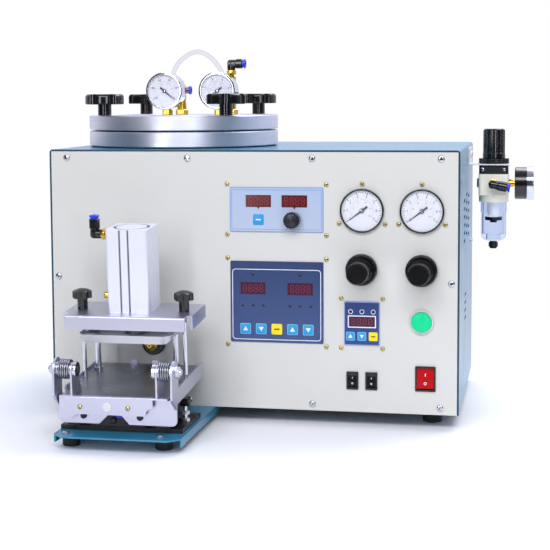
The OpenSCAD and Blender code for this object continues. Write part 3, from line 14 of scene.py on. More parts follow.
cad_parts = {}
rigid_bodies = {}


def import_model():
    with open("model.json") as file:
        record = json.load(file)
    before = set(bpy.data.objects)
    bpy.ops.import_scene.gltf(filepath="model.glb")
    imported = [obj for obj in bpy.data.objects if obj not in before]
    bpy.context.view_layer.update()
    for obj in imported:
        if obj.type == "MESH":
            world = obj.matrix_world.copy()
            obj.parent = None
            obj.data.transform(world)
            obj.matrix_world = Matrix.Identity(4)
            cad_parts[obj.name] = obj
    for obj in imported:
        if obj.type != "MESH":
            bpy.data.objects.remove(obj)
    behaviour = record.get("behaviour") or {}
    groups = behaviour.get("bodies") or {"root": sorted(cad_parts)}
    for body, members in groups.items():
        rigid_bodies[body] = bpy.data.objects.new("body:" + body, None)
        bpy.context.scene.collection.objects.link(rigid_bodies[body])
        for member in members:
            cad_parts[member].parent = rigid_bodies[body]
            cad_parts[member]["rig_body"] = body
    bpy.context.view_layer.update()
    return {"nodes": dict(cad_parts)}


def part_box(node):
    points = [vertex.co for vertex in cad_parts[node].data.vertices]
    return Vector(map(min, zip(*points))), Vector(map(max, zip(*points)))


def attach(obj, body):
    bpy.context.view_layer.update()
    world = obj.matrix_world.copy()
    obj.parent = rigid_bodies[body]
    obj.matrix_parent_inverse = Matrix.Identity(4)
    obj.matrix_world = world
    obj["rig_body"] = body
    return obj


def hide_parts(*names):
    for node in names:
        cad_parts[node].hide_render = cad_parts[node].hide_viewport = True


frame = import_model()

LOG = logging.getLogger("wax_injector")
MM = 0.001
# The cabinet's front left bottom corner, from which every size below is measured in millimetres
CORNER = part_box("cabinet_shell")[0]
# Radius of a sheet's bend, and how near an edge's middle lies to the point that names the bend
BEND_RADIUS, BEND_REACH = 2.2, 0.5
# Points of a drawing in millimetres, and of a CAD mesh in metres, that count as one
SKETCH_WELD, CAD_WELD = 1e-4, 2e-6
TIP_RADIUS = 1e-6
# Size of a font over the height of its figures, and the thickness of printed figures
FONT_RATIO, FIGURE_T = 1.4, 0.03
BEVEL_ANGLE = math.radians(35)
SHADE_ANGLE = math.radians(32)
FLAT_ANGLE = math.radians(0.6)
LEFT, RIGHT, FRONT, REAR, UP = (-1, 0, 0), (1, 0, 0), (0, -1, 0), (0, 1, 0), (0, 0, 1)
TURN_X, TURN_Y, TURN_Z = (Matrix.Rotation(math.pi / 2, 4, axis) for axis in "XYZ")
# Middles of what the front panel carries, to the right and up
DISPLAY, CONTROLLER, TIMER = (283.0, 241.0), (283.0, 130.0), (385.5, 106.7)
PANEL_GAUGES = ((385.5, 241.0), (456.0, 241.0))
KNOB_AXIS = (303.0, 229.2)
# Middle of the tank, to the right and to the rear
TANK_AXIS = (132.0, 148.0)

Point = tuple[float, float]
Spot = tuple[float, float, float]
Outline = Sequence[Point]
Rule = Callable[[Vector], bool]
Tree = bpy.types.NodeTree
Node = bpy.types.Node
Socket = bpy.types.NodeSocket
Mesh = bpy.types.Mesh
Piece = bpy.types.Object


# Places


def at(x: float, y: float, z: float) -> Vector:
    """A point of the machine in the frame's metres.

    Args:
        x: Millimetres to the right of the cabinet's left side.
        y: Millimetres behind the front panel.
        z: Millimetres above the cabinet's bottom.

    Returns:
        The point in the row frame.
    """
    return CORNER + Vector((x, y, z)) * MM


def axes(right: Sequence[float], up: Sequence[float], point: Vector) -> Matrix:
    """A place with its own axes, for a piece that is drawn in millimetres.

    Args:
        right: Direction of the piece's X.
        up: Direction of the piece's Y.
        point: Where the piece's origin goes, in metres.

    Returns:
        The matrix that scales and places the piece.
    """
    x, y = Vector(right), Vector(up)
    turn = Matrix((x, y, x.cross(y))).transposed().to_4x4()
    return Matrix.Translation(point) @ turn @ Matrix.Scale(MM, 4)


def on_panel(x: float, z: float, y: float = 0.0) -> Matrix:
    """A place on a face that looks to the front: X right, Y up, Z towards the viewer."""
    return axes(RIGHT, UP, at(x, y, z))


def upright(x: float, y: float, z: float) -> Matrix:
    """A place with the machine's own axes."""
    return axes(RIGHT, REAR, at(x, y, z))


def shift(x: float, y: float, z: float = 0.0) -> Matrix:
    """A shift in a drawing's own units."""
    return Matrix.Translation((x, y, z))


# Scene and node helpers


def link(name: str, data: bpy.types.ID) -> Piece:
    """Puts an object with its data in the scene.

    Args:
        name: The object's name.
        data: Its mesh, text, camera or light.

    Returns:
        The object.
    """
    thing = bpy.data.objects.new(name, data)
    bpy.context.scene.collection.objects.link(thing)
    return thing


def plain(carrier: Piece) -> Mesh:
    """Makes an object's final form a plain mesh and removes the object.

    Args:
        carrier: The object, with its modifiers.

    Returns:
        The mesh.
    """
    graph = bpy.context.evaluated_depsgraph_get()
    mesh = bpy.data.meshes.new_from_object(carrier.evaluated_get(graph), depsgraph=graph)
    bpy.data.objects.remove(carrier)
    return mesh


def linear(code: str) -> tuple[float, float, float, float]:
    """Turns an sRGB hex colour to linear light.

    Args:
        code: Six hex digits after a hash.

    Returns:
        Red, green, blue and a full alpha.
    """
    parts = [int(code[i:i + 2], 16) / 255 for i in (1, 3, 5)]
    red, green, blue = (p / 12.92 if p <= 0.04045 else ((p + 0.055) / 1.055) ** 2.4 for p in parts)
    return red, green, blue, 1.0


def fresh(owner: bpy.types.Material | bpy.types.World) -> Tree:
    """Gives a material or the world an empty tree.

    Args:
        owner: The material or world.

    Returns:
        The tree.
    """
    owner.use_nodes = True
    owner.node_tree.nodes.clear()
    return owner.node_tree


def put(tree: Tree, kind: str, inputs: dict | None = None, **settings: object) -> Node:
    """Adds a node with its settings and links.

    Args:
        tree: The tree that gets the node.
        kind: The node's type.
        inputs: Values or sockets for its inputs, by name or number.
        settings: Properties of the node.

    Returns:
        The new node.
    """
    node = tree.nodes.new(kind)
    for key, value in settings.items():
        setattr(node, key, value)
    for key, value in (inputs or {}).items():
        if isinstance(value, Socket):
            tree.links.new(value, node.inputs[key])
        else:
            node.inputs[key].default_value = value
    return node


# Finishes


@dataclass(frozen=True)
class Finish:
    """A solid finish with two close tones, a fine relief and an uneven gloss.

    The lengths are millimetres: grain and relief are the width and height of the fine relief, and
    mottle is the width of the patches where tone and gloss change. A clear wall has its own tint, which
    deepens where the eye looks along the wall.
    """

    name: str
    colour: str
    shade: str
    roughness: float
    metallic: float = 0.0
    ior: float = 1.5
    coat: float = 0.0
    grain: float = 0.8
    relief: float = 0.01
    mottle: float = 40.0
    spread: float = 0.15
    alpha: float = 1.0
    transmission: float = 0.0
    glow: float = 0.0
    wall: str = ""
    stretch: Spot = (1.0, 1.0, 1.0)

    def make(self) -> bpy.types.Material:
        """Builds the material, or finds it where it is already built.

        Returns:
            The material.
        """
        known = bpy.data.materials.get(self.name)
        if known:
            return known
        material = bpy.data.materials.new(self.name)
        tree = fresh(material)
        constants = {"Metallic": self.metallic, "Alpha": self.alpha, "Coat Weight": self.coat,
                     "Coat Roughness": 0.08, "Transmission Weight": self.transmission}
        if self.metallic < 0.5:
            constants["IOR"] = self.ior
        if self.wall:
            constants |= {"Coat Weight": 1.0, "Coat IOR": 1.02, "Coat Tint": linear(self.wall)}
        if self.glow:
            constants |= {"Emission Color": linear(self.colour), "Emission Strength": self.glow}
        shader = put(tree, "ShaderNodeBsdfPrincipled", constants)
        put(tree, "ShaderNodeOutputMaterial", {"Surface": shader.outputs["BSDF"]})
        self.pattern(tree, shader, put(tree, "ShaderNodeTexCoord").outputs["Object"])
        return material

    def pattern(self, tree: Tree, shader: Node, where: Socket) -> None:
        """Adds a grain that may be stretched along an axis.

        Args:
            tree: The material's tree.
            shader: Its surface shader.
            where: Coordinates in metres.
        """
        along = put(tree, "ShaderNodeMapping", {"Vector": where, "Scale": self.stretch}).outputs["Vector"]
        grain = put(tree, "ShaderNodeTexNoise",
                    {"Vector": along, "Scale": 1 / (self.grain * MM), "Detail": 3.0}).outputs["Fac"]
        self.mottled(tree, shader, where, grain)

    def mottled(self, tree: Tree, shader: Node, where: Socket, grain: Socket) -> None:
        """Lets tone and gloss change in broad patches.

        Args:
            tree: The material's tree.
            shader: Its surface shader.
            where: Coordinates in metres.
            grain: The fine pattern, from 0 to 1.
        """
        patch = put(tree, "ShaderNodeTexNoise",
                    {"Vector": where, "Scale": 1 / (self.mottle * MM), "Detail": 2.0}).outputs["Fac"]
        both = put(tree, "ShaderNodeMath", {0: patch, 1: grain}, operation="ADD").outputs[0]
        self.dress(tree, shader, patch, grain, {"Value": both, "From Min": 0.6, "From Max": 1.4})

    def dress(self, tree: Tree, shader: Node, tone: Socket, grain: Socket,
              gloss: dict[str, Socket | float]) -> None:
        """Leads tone, roughness and relief to the shader.

        Args:
            tree: The material's tree.
            shader: Its surface shader.
            tone: Share of the second tone.
            grain: The fine relief, from 0 to 1.
            gloss: What the roughness follows, with its range.
        """
        ends = {"To Min": self.roughness * (1 - self.spread), "To Max": self.roughness * (1 + self.spread)}
        colour = put(tree, "ShaderNodeMix", {0: tone, 6: linear(self.colour), 7: linear(self.shade)},
                     data_type="RGBA")
        rough = put(tree, "ShaderNodeMapRange", gloss | ends)
        bump = put(tree, "ShaderNodeBump", {"Height": grain, "Distance": self.relief * MM, "Strength": 1.0})
        tree.links.new(colour.outputs[2], shader.inputs["Base Color"])
        tree.links.new(rough.outputs[0], shader.inputs["Roughness"])
        tree.links.new(bump.outputs["Normal"], shader.inputs["Normal"])


@dataclass(frozen=True)
class Metal(Finish):
    """Bare or plated metal."""

    metallic: float = 1.0


@dataclass(frozen=True)
class TurnedFinish(Metal):
    """Metal from a lathe: fine rings round an axis that stands upright, or lies from front to back."""

    axis: Point = (0.0, 0.0)
    lying: bool = False
    fan: float = 0.7

    def pattern(self, tree: Tree, shader: Node, where: Socket) -> None:
        """Adds rings about the axis, which catch the light as a fan.

        Args:
            tree: The material's tree.
            shader: Its surface shader.
            where: Coordinates in metres.
        """
        a, b = self.axis
        middle = at(a, 0, b) if self.lying else at(a, b, 0)
        moved = put(tree, "ShaderNodeMapping", {"Vector": where, "Location": -middle}).outputs["Vector"]
        split = put(tree, "ShaderNodeSeparateXYZ", {0: moved}).outputs
        side, depth = (2, 1) if self.lying else (1, 2)
        x, y = split[0], split[side]
        square = put(tree, "ShaderNodeMath", {0: x, 1: x}, operation="MULTIPLY").outputs[0]
        total = put(tree, "ShaderNodeMath", {0: y, 1: y, 2: square}, operation="MULTIPLY_ADD").outputs[0]
        radius = put(tree, "ShaderNodeMath", {0: total}, operation="SQRT").outputs[0]
        back = put(tree, "ShaderNodeMath", {0: y, 1: -1.0}, operation="MULTIPLY").outputs[0]
        round_axis = put(tree, "ShaderNodeCombineXYZ", {0: back, side: x}).outputs[0]
        tree.links.new(round_axis, shader.inputs["Tangent"])
        shader.inputs["Anisotropic"].default_value = self.fan
        shader.inputs["Anisotropic Rotation"].default_value = 0.25
        path = put(tree, "ShaderNodeCombineXYZ", {0: radius, 2: split[depth]}).outputs[0]
        rings = put(tree, "ShaderNodeTexNoise",
                    {"Vector": path, "Scale": 1 / (self.grain * MM), "Detail": 2.0}).outputs["Fac"]
        self.mottled(tree, shader, where, rings)


@dataclass(frozen=True)
class FilmFinish(Finish):
    """Printed film with one colour that gets lighter from the top down."""

    grain: float = 0.5
    relief: float = 0.004
    top: float = 0.0
    height: float = 60.0

    def pattern(self, tree: Tree, shader: Node, where: Socket) -> None:
        """Adds the printed gradient and the film's fine texture.

        Args:
            tree: The material's tree.
            shader: Its surface shader.
            where: Coordinates in metres.
        """
        level = put(tree, "ShaderNodeSeparateXYZ", {0: where}).outputs["Z"]
        high = at(0, 0, self.top).z
        fade = put(tree, "ShaderNodeMapRange", {
            "Value": level, "From Min": high, "From Max": high - self.height * MM}).outputs[0]
        grain = put(tree, "ShaderNodeTexNoise",
                    {"Vector": where, "Scale": 1 / (self.grain * MM), "Detail": 2.0}).outputs["Fac"]
        self.dress(tree, shader, fade, grain, {"Value": grain})


@dataclass(frozen=True)
class Ink(Finish):
    """Printing ink: flat and satin."""

    roughness: float = 0.36
    grain: float = 0.5
    relief: float = 0.004


# Long streaks across the machine, and lines along an upright extrusion
ACROSS, UPWARD = (0.03, 1.0, 1.0), (1.0, 1.0, 0.03)

# Powder coat on sheet steel: a satin teal skin with a faint orange peel, pale at a low angle
TEAL_PAINT = Finish("teal_powder_coat", "#2A7DA0", "#267594", 0.36, coat=0.3, grain=1.6, relief=0.008,
                    mottle=90)
TEAL_DARK = Finish("teal_powder_coat_inner", "#1D566B", "#1A4D60", 0.4, grain=1.6, mottle=90)
# Cut edge of the painted sheet: almost navy, darker than the teal sheet
TEAL_EDGE = Finish("teal_sheet_edge", "#0F4259", "#0C384C", 0.35, grain=1.0, mottle=60)
# Light grey powder coat: dull, even, with a fine sand-like texture
GREY_PAINT = Finish("grey_powder_coat", "#D0D0CA", "#CACAC4", 0.5, grain=0.9, relief=0.012, mottle=120)
# Zinc-plated sheet, brushed across the machine: bluish silver with long faint streaks
ZINC_SHEET = Metal("zinc_plated_sheet", "#CBCBDA", "#C3C4D4", 0.37, grain=0.5, relief=0.0015, mottle=80,
                   spread=0.14, stretch=ACROSS)
# Tray and press plate floors: the same sheet painted dark, as painted shade on the floors
SHADE_PAINTED_SHEET = Metal("worn_tray_sheet", "#9A9DA9", "#83868F", 0.3, grain=0.5, relief=0.003, mottle=35,
                   spread=0.3, stretch=ACROSS)
# Ground bright steel: rods, bolts and screw heads
BRIGHT_STEEL = Metal("bright_steel", "#D2D4DB", "#C4C6CE", 0.16, grain=0.4, relief=0.003, mottle=12)
# Pressed stainless plate: satin, even, a little warmer than the zinc
SATIN_STEEL = Metal("satin_steel", "#CDCED4", "#C3C4CB", 0.36, grain=0.4, relief=0.002)
# Spring wire: drawn steel, a little darker and oily
SPRING_WIRE = Metal("spring_wire", "#A9ABB2", "#8F9299", 0.28, grain=0.5, relief=0.004, mottle=8)
# Turned aluminium: fine rings, soft silver with broad streaks of light
TURNED_ALUMINIUM = TurnedFinish("turned_aluminium", "#E0E1EA", "#D8D9E4", 0.5, grain=0.7, relief=0.004,
                                mottle=60, spread=0.3, axis=TANK_AXIS)
# Clear anodised extrusion: nearly white, satin, with drawn lines along its length
ANODISED = Finish("anodised_aluminium", "#ECEEF8", "#E4E7F3", 0.36, metallic=0.55, grain=0.5, relief=0.004,
                  mottle=30, stretch=UPWARD)
# Floor of the drawn grooves: the same skin painted dark grey, as painted shade where the grooves lie out of
# the light
GROOVE_SHADE = Finish("groove_floor", "#70737E", "#5E616B", 0.5, metallic=0.5, grain=0.5, relief=0.004, mottle=20)
# Machined brass: warm yellow, bright on the flats, browner where handled
BRASS = Metal("machined_brass", "#E3BE58", "#CFA63E", 0.2, grain=0.6, relief=0.004, mottle=10, spread=0.3)
# Passivated small screws: a paler, greener yellow than the turned brass
PALE_BRASS = Metal("passivated_screw", "#CDBF86", "#BCAD72", 0.26, grain=0.5, relief=0.004, mottle=8)
# Chrome plate: near mirror
CHROME = Metal("chrome_plate", "#D8DAE0", "#CBCDD4", 0.07, grain=1.5, relief=0.002, mottle=15)
# Spun knob face: dark grey metal with a soft fan of light
DARK_SPUN = TurnedFinish("dark_spun_metal", "#46474E", "#3A3B41", 0.34, grain=0.3, relief=0.004, mottle=6,
                         axis=KNOB_AXIS, lying=True)
# Nitrile rubber: dull black with a dusty bloom
RUBBER = Finish("nitrile_rubber", "#101113", "#18191C", 0.7, grain=0.7, relief=0.03, mottle=12)
# Moulded phenolic: deep gloss black
GLOSS_BLACK = Finish("gloss_phenolic_black", "#060607", "#09090B", 0.17, ior=1.6, grain=3.0, relief=0.004,
                     mottle=20)
# Moulded ABS: black with a fine spark-eroded texture
MATT_BLACK = Finish("textured_abs_black", "#0C0C0F", "#121216", 0.38, grain=0.5, relief=0.015, mottle=15)
# Blackened steel: blue-black, oily sheen
BLACK_STEEL = Finish("black_oxide_steel", "#0E0F13", "#15161B", 0.34, metallic=0.3, grain=0.6, relief=0.008,
                     mottle=20)
# Printed polyester films: smooth satin colour under a clear skin
BLUE_FILM = FilmFinish("pale_blue_film", "#A3B5D0", "#AFBBCE", 0.34, top=268, height=54)
NAVY_FILM = FilmFinish("navy_film", "#1E3562", "#344A78", 0.32, top=179, height=80)
TIMER_FILM = FilmFinish("timer_film", "#1A3872", "#203E78", 0.32, top=133, height=50)
# Inks on the films and dials: flat colour, a little less gloss than the film
CYAN_INK = Ink("cyan_ink", "#1F96D2", "#1A8EC8")
PALE_INK = Ink("pale_cyan_ink", "#74B6DE", "#6CAED6")
YELLOW_INK = Ink("yellow_ink", "#F2DC12", "#EAD30E")
WHITE_INK = Ink("white_ink", "#E9ECF3", "#E2E6EF", 0.4)
LINE_BLUE = Ink("line_blue_ink", "#5A86CC", "#5480C4", 0.4)
LILAC_INK = Ink("lilac_ink", "#8E98CC", "#868FC4", 0.4)
BLACK_INK = Ink("black_ink", "#121318", "#191A20", 0.45, relief=0.003)
RED_INK = Ink("red_ink", "#C8545C", "#BE4B53", 0.45, relief=0.003)
# Coloured acrylic over unlit digits: deep red with a soft gloss, and a faint painted glow in the windows and
# the unlit segments
RED_WINDOW = Finish("red_display_acrylic", "#540A12", "#4B0910", 0.16, grain=1.2, relief=0.003, mottle=10,
                    glow=0.12)
RED_DIGIT = Finish("red_display_segments", "#781119", "#700F17", 0.3, grain=1.2, relief=0.002, mottle=6,
                   glow=0.12)
# Darker acrylic and unlit segments of the controller and timer, with a fainter painted glow
DARK_WINDOW = Finish("dark_display_acrylic", "#4A1A33", "#3F152B", 0.16, grain=1.2, relief=0.003, mottle=10,
                     glow=0.06)
DARK_DIGIT = Finish("dark_display_segments", "#6A2440", "#60203A", 0.3, grain=1.2, relief=0.002, mottle=6,
                    glow=0.06)
# Unlit lamp: a dark plum dome
LAMP = Finish("dark_led", "#2A1726", "#22121F", 0.15, grain=1.0, relief=0.002, mottle=4)
# Enamelled dial: clean white
DIAL_WHITE = Finish("dial_enamel", "#DFE2E8", "#D9DCE4", 0.4, grain=0.6, relief=0.003, mottle=20)
# Acrylic gauge window: almost nothing but its reflection
CLEAR = Finish("clear_acrylic", "#FFFFFF", "#F8FBFF", 0.04, alpha=0.04, grain=2.0, relief=0.001, mottle=20)
# Polycarbonate bowl: bluish, deeper in colour at its sides
BOWL = Finish("polycarbonate_bowl", "#F0F3FB", "#EBEFF8", 0.04, ior=1.08, transmission=1.0, grain=6.0,
              relief=0.001, mottle=15, wall="#F8FAFE")
# Nylon tube: smooth and clear, greyer at its edges where the wall is seen deeper
NYLON_TUBE = Finish("nylon_tube", "#FDFDFF", "#F9FAFD", 0.05, ior=1.05, transmission=1.0, grain=8.0,
                    relief=0.0, mottle=20, wall="#F5F5F8")
# Sintered filter element: dull white grains, with a painted glow that stands in for the light that the clear
# bowl lets in
SINTERED = Finish("sintered_polyethylene", "#EDEDE8", "#E3E3DC", 0.8, grain=0.35, relief=0.06, mottle=6,
                  glow=0.3)
# Enamel on castings and on sheet: smooth satin cream and white
CREAM = Finish("cream_enamel", "#FFFBE8", "#F8F4E1", 0.34, grain=1.2, relief=0.012, mottle=20)
WHITE_STEEL = Finish("white_enamelled_steel", "#E6E7E6", "#DFE0DF", 0.34, grain=1.2, relief=0.008, mottle=30)
# Moulded collars and bezels: saturated blue acetal and off-white polyamide
BLUE_COLLAR = Finish("blue_acetal", "#1F3FDC", "#1A38C8", 0.32, grain=0.6, relief=0.006, mottle=6)
PALE_PLASTIC = Finish("white_polyamide", "#D2D2D2", "#C9C9C9", 0.36, grain=0.6, relief=0.006, mottle=10)
# Push button lens: translucent green acrylic, with a faint painted glow
GREEN_LENS = Finish("green_acrylic_lens", "#00CF8A", "#00C482", 0.3, ior=1.35, relief=0.006, mottle=14,
                    glow=0.12)
# Power rocker: red polycarbonate
RED_ROCKER = Finish("red_polycarbonate", "#B80308", "#A60409", 0.35, ior=1.25, grain=0.6, relief=0.004,
                    mottle=12)
# Inside the cabinet: flaky grey mica and a dull casting
MICA = Finish("mica_heater_band", "#B8B2A6", "#A39C8E", 0.5, metallic=0.4, grain=1.0, relief=0.02, mottle=20)
PUMP_CAST = Finish("cast_aluminium_pump", "#8A8F96", "#7C8188", 0.5, metallic=0.7, grain=0.9, relief=0.05,
                   mottle=25)


# Drawing


def arc(x: float, y: float, r: float, start: float, end: float, steps: int = 6) -> list[Point]:
    """Points on an arc, with the angles in degrees."""
    angles = (math.radians(start + (end - start) * i / steps) for i in range(steps + 1))
    return [(x + r * math.cos(a), y + r * math.sin(a)) for a in angles]


def polygon(sides: int, across: float) -> list[Point]:
    """Outline of a regular polygon with a given width across its corners."""
    return arc(0, 0, across / 2, 0, 360 * (sides - 1) / sides, sides - 1)


def round_rect(w: float, h: float, r: float, x: float = 0.0, y: float = 0.0) -> list[Point]:
    """Outline of a rectangle with round corners.

    Args:
        w: Width.
        h: Height.
        r: Corner radius.
        x: Middle along X.
        y: Middle along Y.

    Returns:
        The points, counter-clockwise.
    """
    points: list[Point] = []
    for i, (sx, sy) in enumerate(((1, 1), (-1, 1), (-1, -1), (1, -1))):
        points += arc(x + sx * (w / 2 - r), y + sy * (h / 2 - r), r, 90 * i, 90 * i + 90)
    return points


def lifted(outline: Outline, z: float, place: Matrix = Matrix()) -> list[Vector]:
    """An outline's points at a height."""
    return [place @ Vector((*p, z)) for p in outline]


class Sketch:
    """A mesh that is drawn in millimetres in a piece's own axes."""

    def __init__(self) -> None:
        """Starts with nothing drawn."""
        self.bm = bmesh.new()

    def skin(self, loops: Sequence[Sequence[Vector]], capped: bool = True) -> "Sketch":
        """Joins closed loops of points to a skin.

        Args:
            loops: Loops with the same number of points; a loop of one point is a tip.
            capped: Whether the first and last loop are filled.

        Returns:
            The sketch.
        """
        rings = [[self.bm.verts.new(p) for p in loop] for loop in loops]
        for low, high in zip(rings, rings[1:]):
            count = max(len(low), len(high))
            for k in range(count):
                n = (k + 1) % count
                corners = [low[k % len(low)], low[n % len(low)], high[n % len(high)], high[k % len(high)]]
                self.bm.faces.new(list(dict.fromkeys(corners)))
        for ring in (rings[0], rings[-1]):
            if capped and len(ring) > 2:
                self.bm.faces.new(ring)
        return self

    def lathe(self, profile: Outline, steps: int = 48, place: Matrix = Matrix()) -> "Sketch":
        """Turns a profile of radius and height about Z.

        Args:
            profile: The points, from the lower end to the upper end.
            steps: Points round the axis.
            place: Where the turned form goes.

        Returns:
            The sketch.
        """
        rings = ((polygon(steps, 2 * r) if r > TIP_RADIUS else [(r, 0.0)], z) for r, z in profile)
        return self.skin([lifted(ring, z, place) for ring, z in rings])

    def rod(self, r: float, low: float, high: float, steps: int, place: Matrix = Matrix()) -> "Sketch":
        """Turns a plain cylinder about Z."""
        return self.lathe([(0, low), (r, low), (r, high), (0, high)], steps, place)

    def prism(self, outline: Outline, low: float, high: float, place: Matrix = Matrix()) -> "Sketch":
        """Extrudes an outline along Z, counter-clockwise, from a lower to a higher level."""
        return self.skin([lifted(outline, z, place) for z in (low, high)])

    def frame(self, outer: Outline, inner: Outline, low: float, high: float) -> "Sketch":
        """Extrudes the band between two outlines that have the same number of points."""
        rows = ((outer, low), (outer, high), (inner, high), (inner, low), (outer, low))
        return self.skin([lifted(outline, z) for outline, z in rows], capped=False)

    def ring(self, outer: float, inner: float, steps: int, low: float, high: float) -> "Sketch":
        """Extrudes a flat ring of two radii."""
        return self.frame(polygon(steps, 2 * outer), polygon(steps, 2 * inner), low, high)

    def sweep(self, path: Sequence[Vector], radius: float, sides: int = 12) -> "Sketch":
        """Draws a round bar along a path.

        Args:
            path: The points of its middle line.
            radius: Radius of the bar.
            sides: Points round the bar.

        Returns:
            The sketch.
        """
        loops = []
        normal = Vector((0.31, 0.52, 0.79))
        for i, point in enumerate(path):
            along = (path[min(i + 1, len(path) - 1)] - path[max(i - 1, 0)]).normalized()
            normal = (normal - normal.dot(along) * along).normalized()
            side = along.cross(normal)
            loops.append([point + radius * (math.cos(a) * normal + math.sin(a) * side)
                          for a in (2 * math.pi * k / sides for k in range(sides))])
        return self.skin(loops)

    def piece(self, name: str, body: str, slot: str, finish: Finish, place: Matrix, bevel: float = 0.0,
              node: str = "") -> Piece:
        """Makes the drawing a piece that rides on a body.

        Args:
            name: The piece's name.
            body: The body that it moves with.
            slot: Not used.
            finish: Its finish.
            place: Where it goes.
            bevel: Width of the chamfer on its sharp edges.
            node: The CAD node that it stands for, if any.

        Returns:
            The piece.
        """
        bmesh.ops.remove_doubles(self.bm, verts=self.bm.verts, dist=SKETCH_WELD)
        bmesh.ops.recalc_face_normals(self.bm, faces=self.bm.faces)
        if bevel:
            soften(self.bm, bevel)
        self.bm.transform(place)
        if place.determinant() < 0:
            bmesh.ops.reverse_faces(self.bm, faces=self.bm.faces)
        return settle(name, baked(name, self.bm), body, finish, node)


def baked(name: str, bm: bmesh.types.BMesh) -> Mesh:
    """Makes a drawing a mesh and frees the drawing.

    Args:
        name: The mesh's name.
        bm: The drawing.

    Returns:
        The mesh.
    """
    mesh = bpy.data.meshes.new(name)
    bm.to_mesh(mesh)
    bm.free()
    return mesh


def soften(bm: bmesh.types.BMesh, width: float) -> None:
    """Chamfers the sharp edges of a drawing by a width in the drawing's units."""
    sharp = [e for e in bm.edges if len(e.link_faces) == 2 and e.calc_face_angle(0.0) > BEVEL_ANGLE]
    bmesh.ops.bevel(bm, geom=sharp, offset=width, segments=2, profile=0.5, affect="EDGES", clamp_overlap=True)


def dip(mesh: Mesh, finish: Finish) -> None:
    """Gives a mesh one finish."""
    mesh.materials.clear()
    mesh.materials.append(finish.make())


def settle(name: str, mesh: Mesh, body: str, finish: Finish | None = None,
           node: str = "") -> Piece:
    """Puts a finished mesh in the scene as a piece.

    Args:
        name: The piece's name.
        mesh: Its mesh, in metres.
        body: The body that it moves with.
        finish: Its finish, or None where the mesh has one already.
        node: The CAD node that it stands for, if any.

    Returns:
        The piece.
    """
    stale = mesh.attributes.get("custom_normal")
    if stale:
        mesh.attributes.remove(stale)
    mesh.shade_smooth()
    mesh.set_sharp_from_angle(angle=SHADE_ANGLE)
    piece = link(name, mesh)
    if finish:
        dip(mesh, finish)
    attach(piece, body)
    if node:
        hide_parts(node)
    LOG.info("%s rides on %s, %d faces", name, body, len(mesh.polygons))
    return piece


def body_of(node: str) -> str:
    """The body that a CAD node belongs to."""
    return frame["nodes"][node]["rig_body"]


def coat(finish: Finish, *nodes: str) -> None:
    """Gives CAD nodes a finish.

    Args:
        finish: The finish.
        nodes: The nodes that get it.
    """
    for node in nodes:
        dip(frame["nodes"][node].data, finish)
        LOG.info("%s has %s", node, finish.name)


def refined(name: str, node: str, finish: Finish, bevel: float = 0.0,
            rule: Rule | None = None, bend: Spot | None = None) -> None:
    """Makes a copy of a CAD node, or of some of its faces, with smooth curves and softened edges.

    Args:
        name: The copy's name.
        node: The node that it stands for.
        finish: Its finish.
        bevel: Width of the softened edges in millimetres.
        rule: Says which faces belong to it, by a point in the machine's millimetres.
        bend: Middle of an edge that is a rounded bend.
    """
    bm = bmesh.new()
    bm.from_mesh(frame["nodes"][node].data)
    bmesh.ops.remove_doubles(bm, verts=bm.verts, dist=CAD_WELD)
    if rule:
        spare = [f for f in bm.faces if not rule((f.calc_center_median() - CORNER) / MM)]
        kept = set(bm.faces) - set(spare)
        seam = [e for e in bm.edges if len({f in kept for f in e.link_faces}) == 2]
        bmesh.ops.delete(bm, geom=spare, context="FACES")
        bmesh.ops.holes_fill(bm, edges=seam, sides=0)
    if bevel:
        bmesh.ops.dissolve_limit(bm, angle_limit=FLAT_ANGLE, verts=bm.verts, edges=bm.edges,
                                 delimit={"NORMAL"})
        if bend:
            middles = ((e, (e.verts[0].co + e.verts[1].co) / 2) for e in bm.edges)
            folds = [e for e, middle in middles if (middle - at(*bend)).length < BEND_REACH * MM]
            bmesh.ops.bevel(bm, geom=folds, offset=BEND_RADIUS * MM, segments=5, profile=0.5, affect="EDGES")
        soften(bm, bevel * MM)
    piece = settle(name, baked(name, bm), body_of(node), finish, node)
    # Keeps the flat faces flat beside their softened edges
    piece.modifiers.new("even_normals", "WEIGHTED_NORMAL").keep_sharp = True


# Grown pieces


def new_tree(name: str, sizes: dict[str, str]) -> tuple[Tree, bpy.types.NodeOutputs]:
    """Starts a geometry tree.

    Args:
        name: The tree's name.
        sizes: Its inputs, each with the kind of its socket.

    Returns:
        The tree and the sockets of its inputs.
    """
    tree = bpy.data.node_groups.new(name, "GeometryNodeTree")
    for size, kind in ({"Geometry": "Geometry"} | sizes).items():
        tree.interface.new_socket(name=size, in_out="INPUT", socket_type="NodeSocket" + kind)
    tree.interface.new_socket(name="Geometry", in_out="OUTPUT", socket_type="NodeSocketGeometry")
    return tree, put(tree, "NodeGroupInput").outputs


def end_tree(tree: Tree, points: Socket, instance: Socket, turn: Socket, finish: Socket) -> None:
    """Ends a geometry tree: a form on each point, as plain faces with a finish.

    Args:
        tree: The tree.
        points: The points.
        instance: The form.
        turn: How it is turned.
        finish: The socket of its material.
    """
    forms = put(tree, "GeometryNodeInstanceOnPoints",
                {"Points": points, "Instance": instance, "Rotation": turn}).outputs[0]
    faces = put(tree, "GeometryNodeRealizeInstances", {"Geometry": forms}).outputs[0]
    dressed = put(tree, "GeometryNodeSetMaterial", {"Geometry": faces, "Material": finish}).outputs[0]
    put(tree, "NodeGroupOutput", {0: dressed})


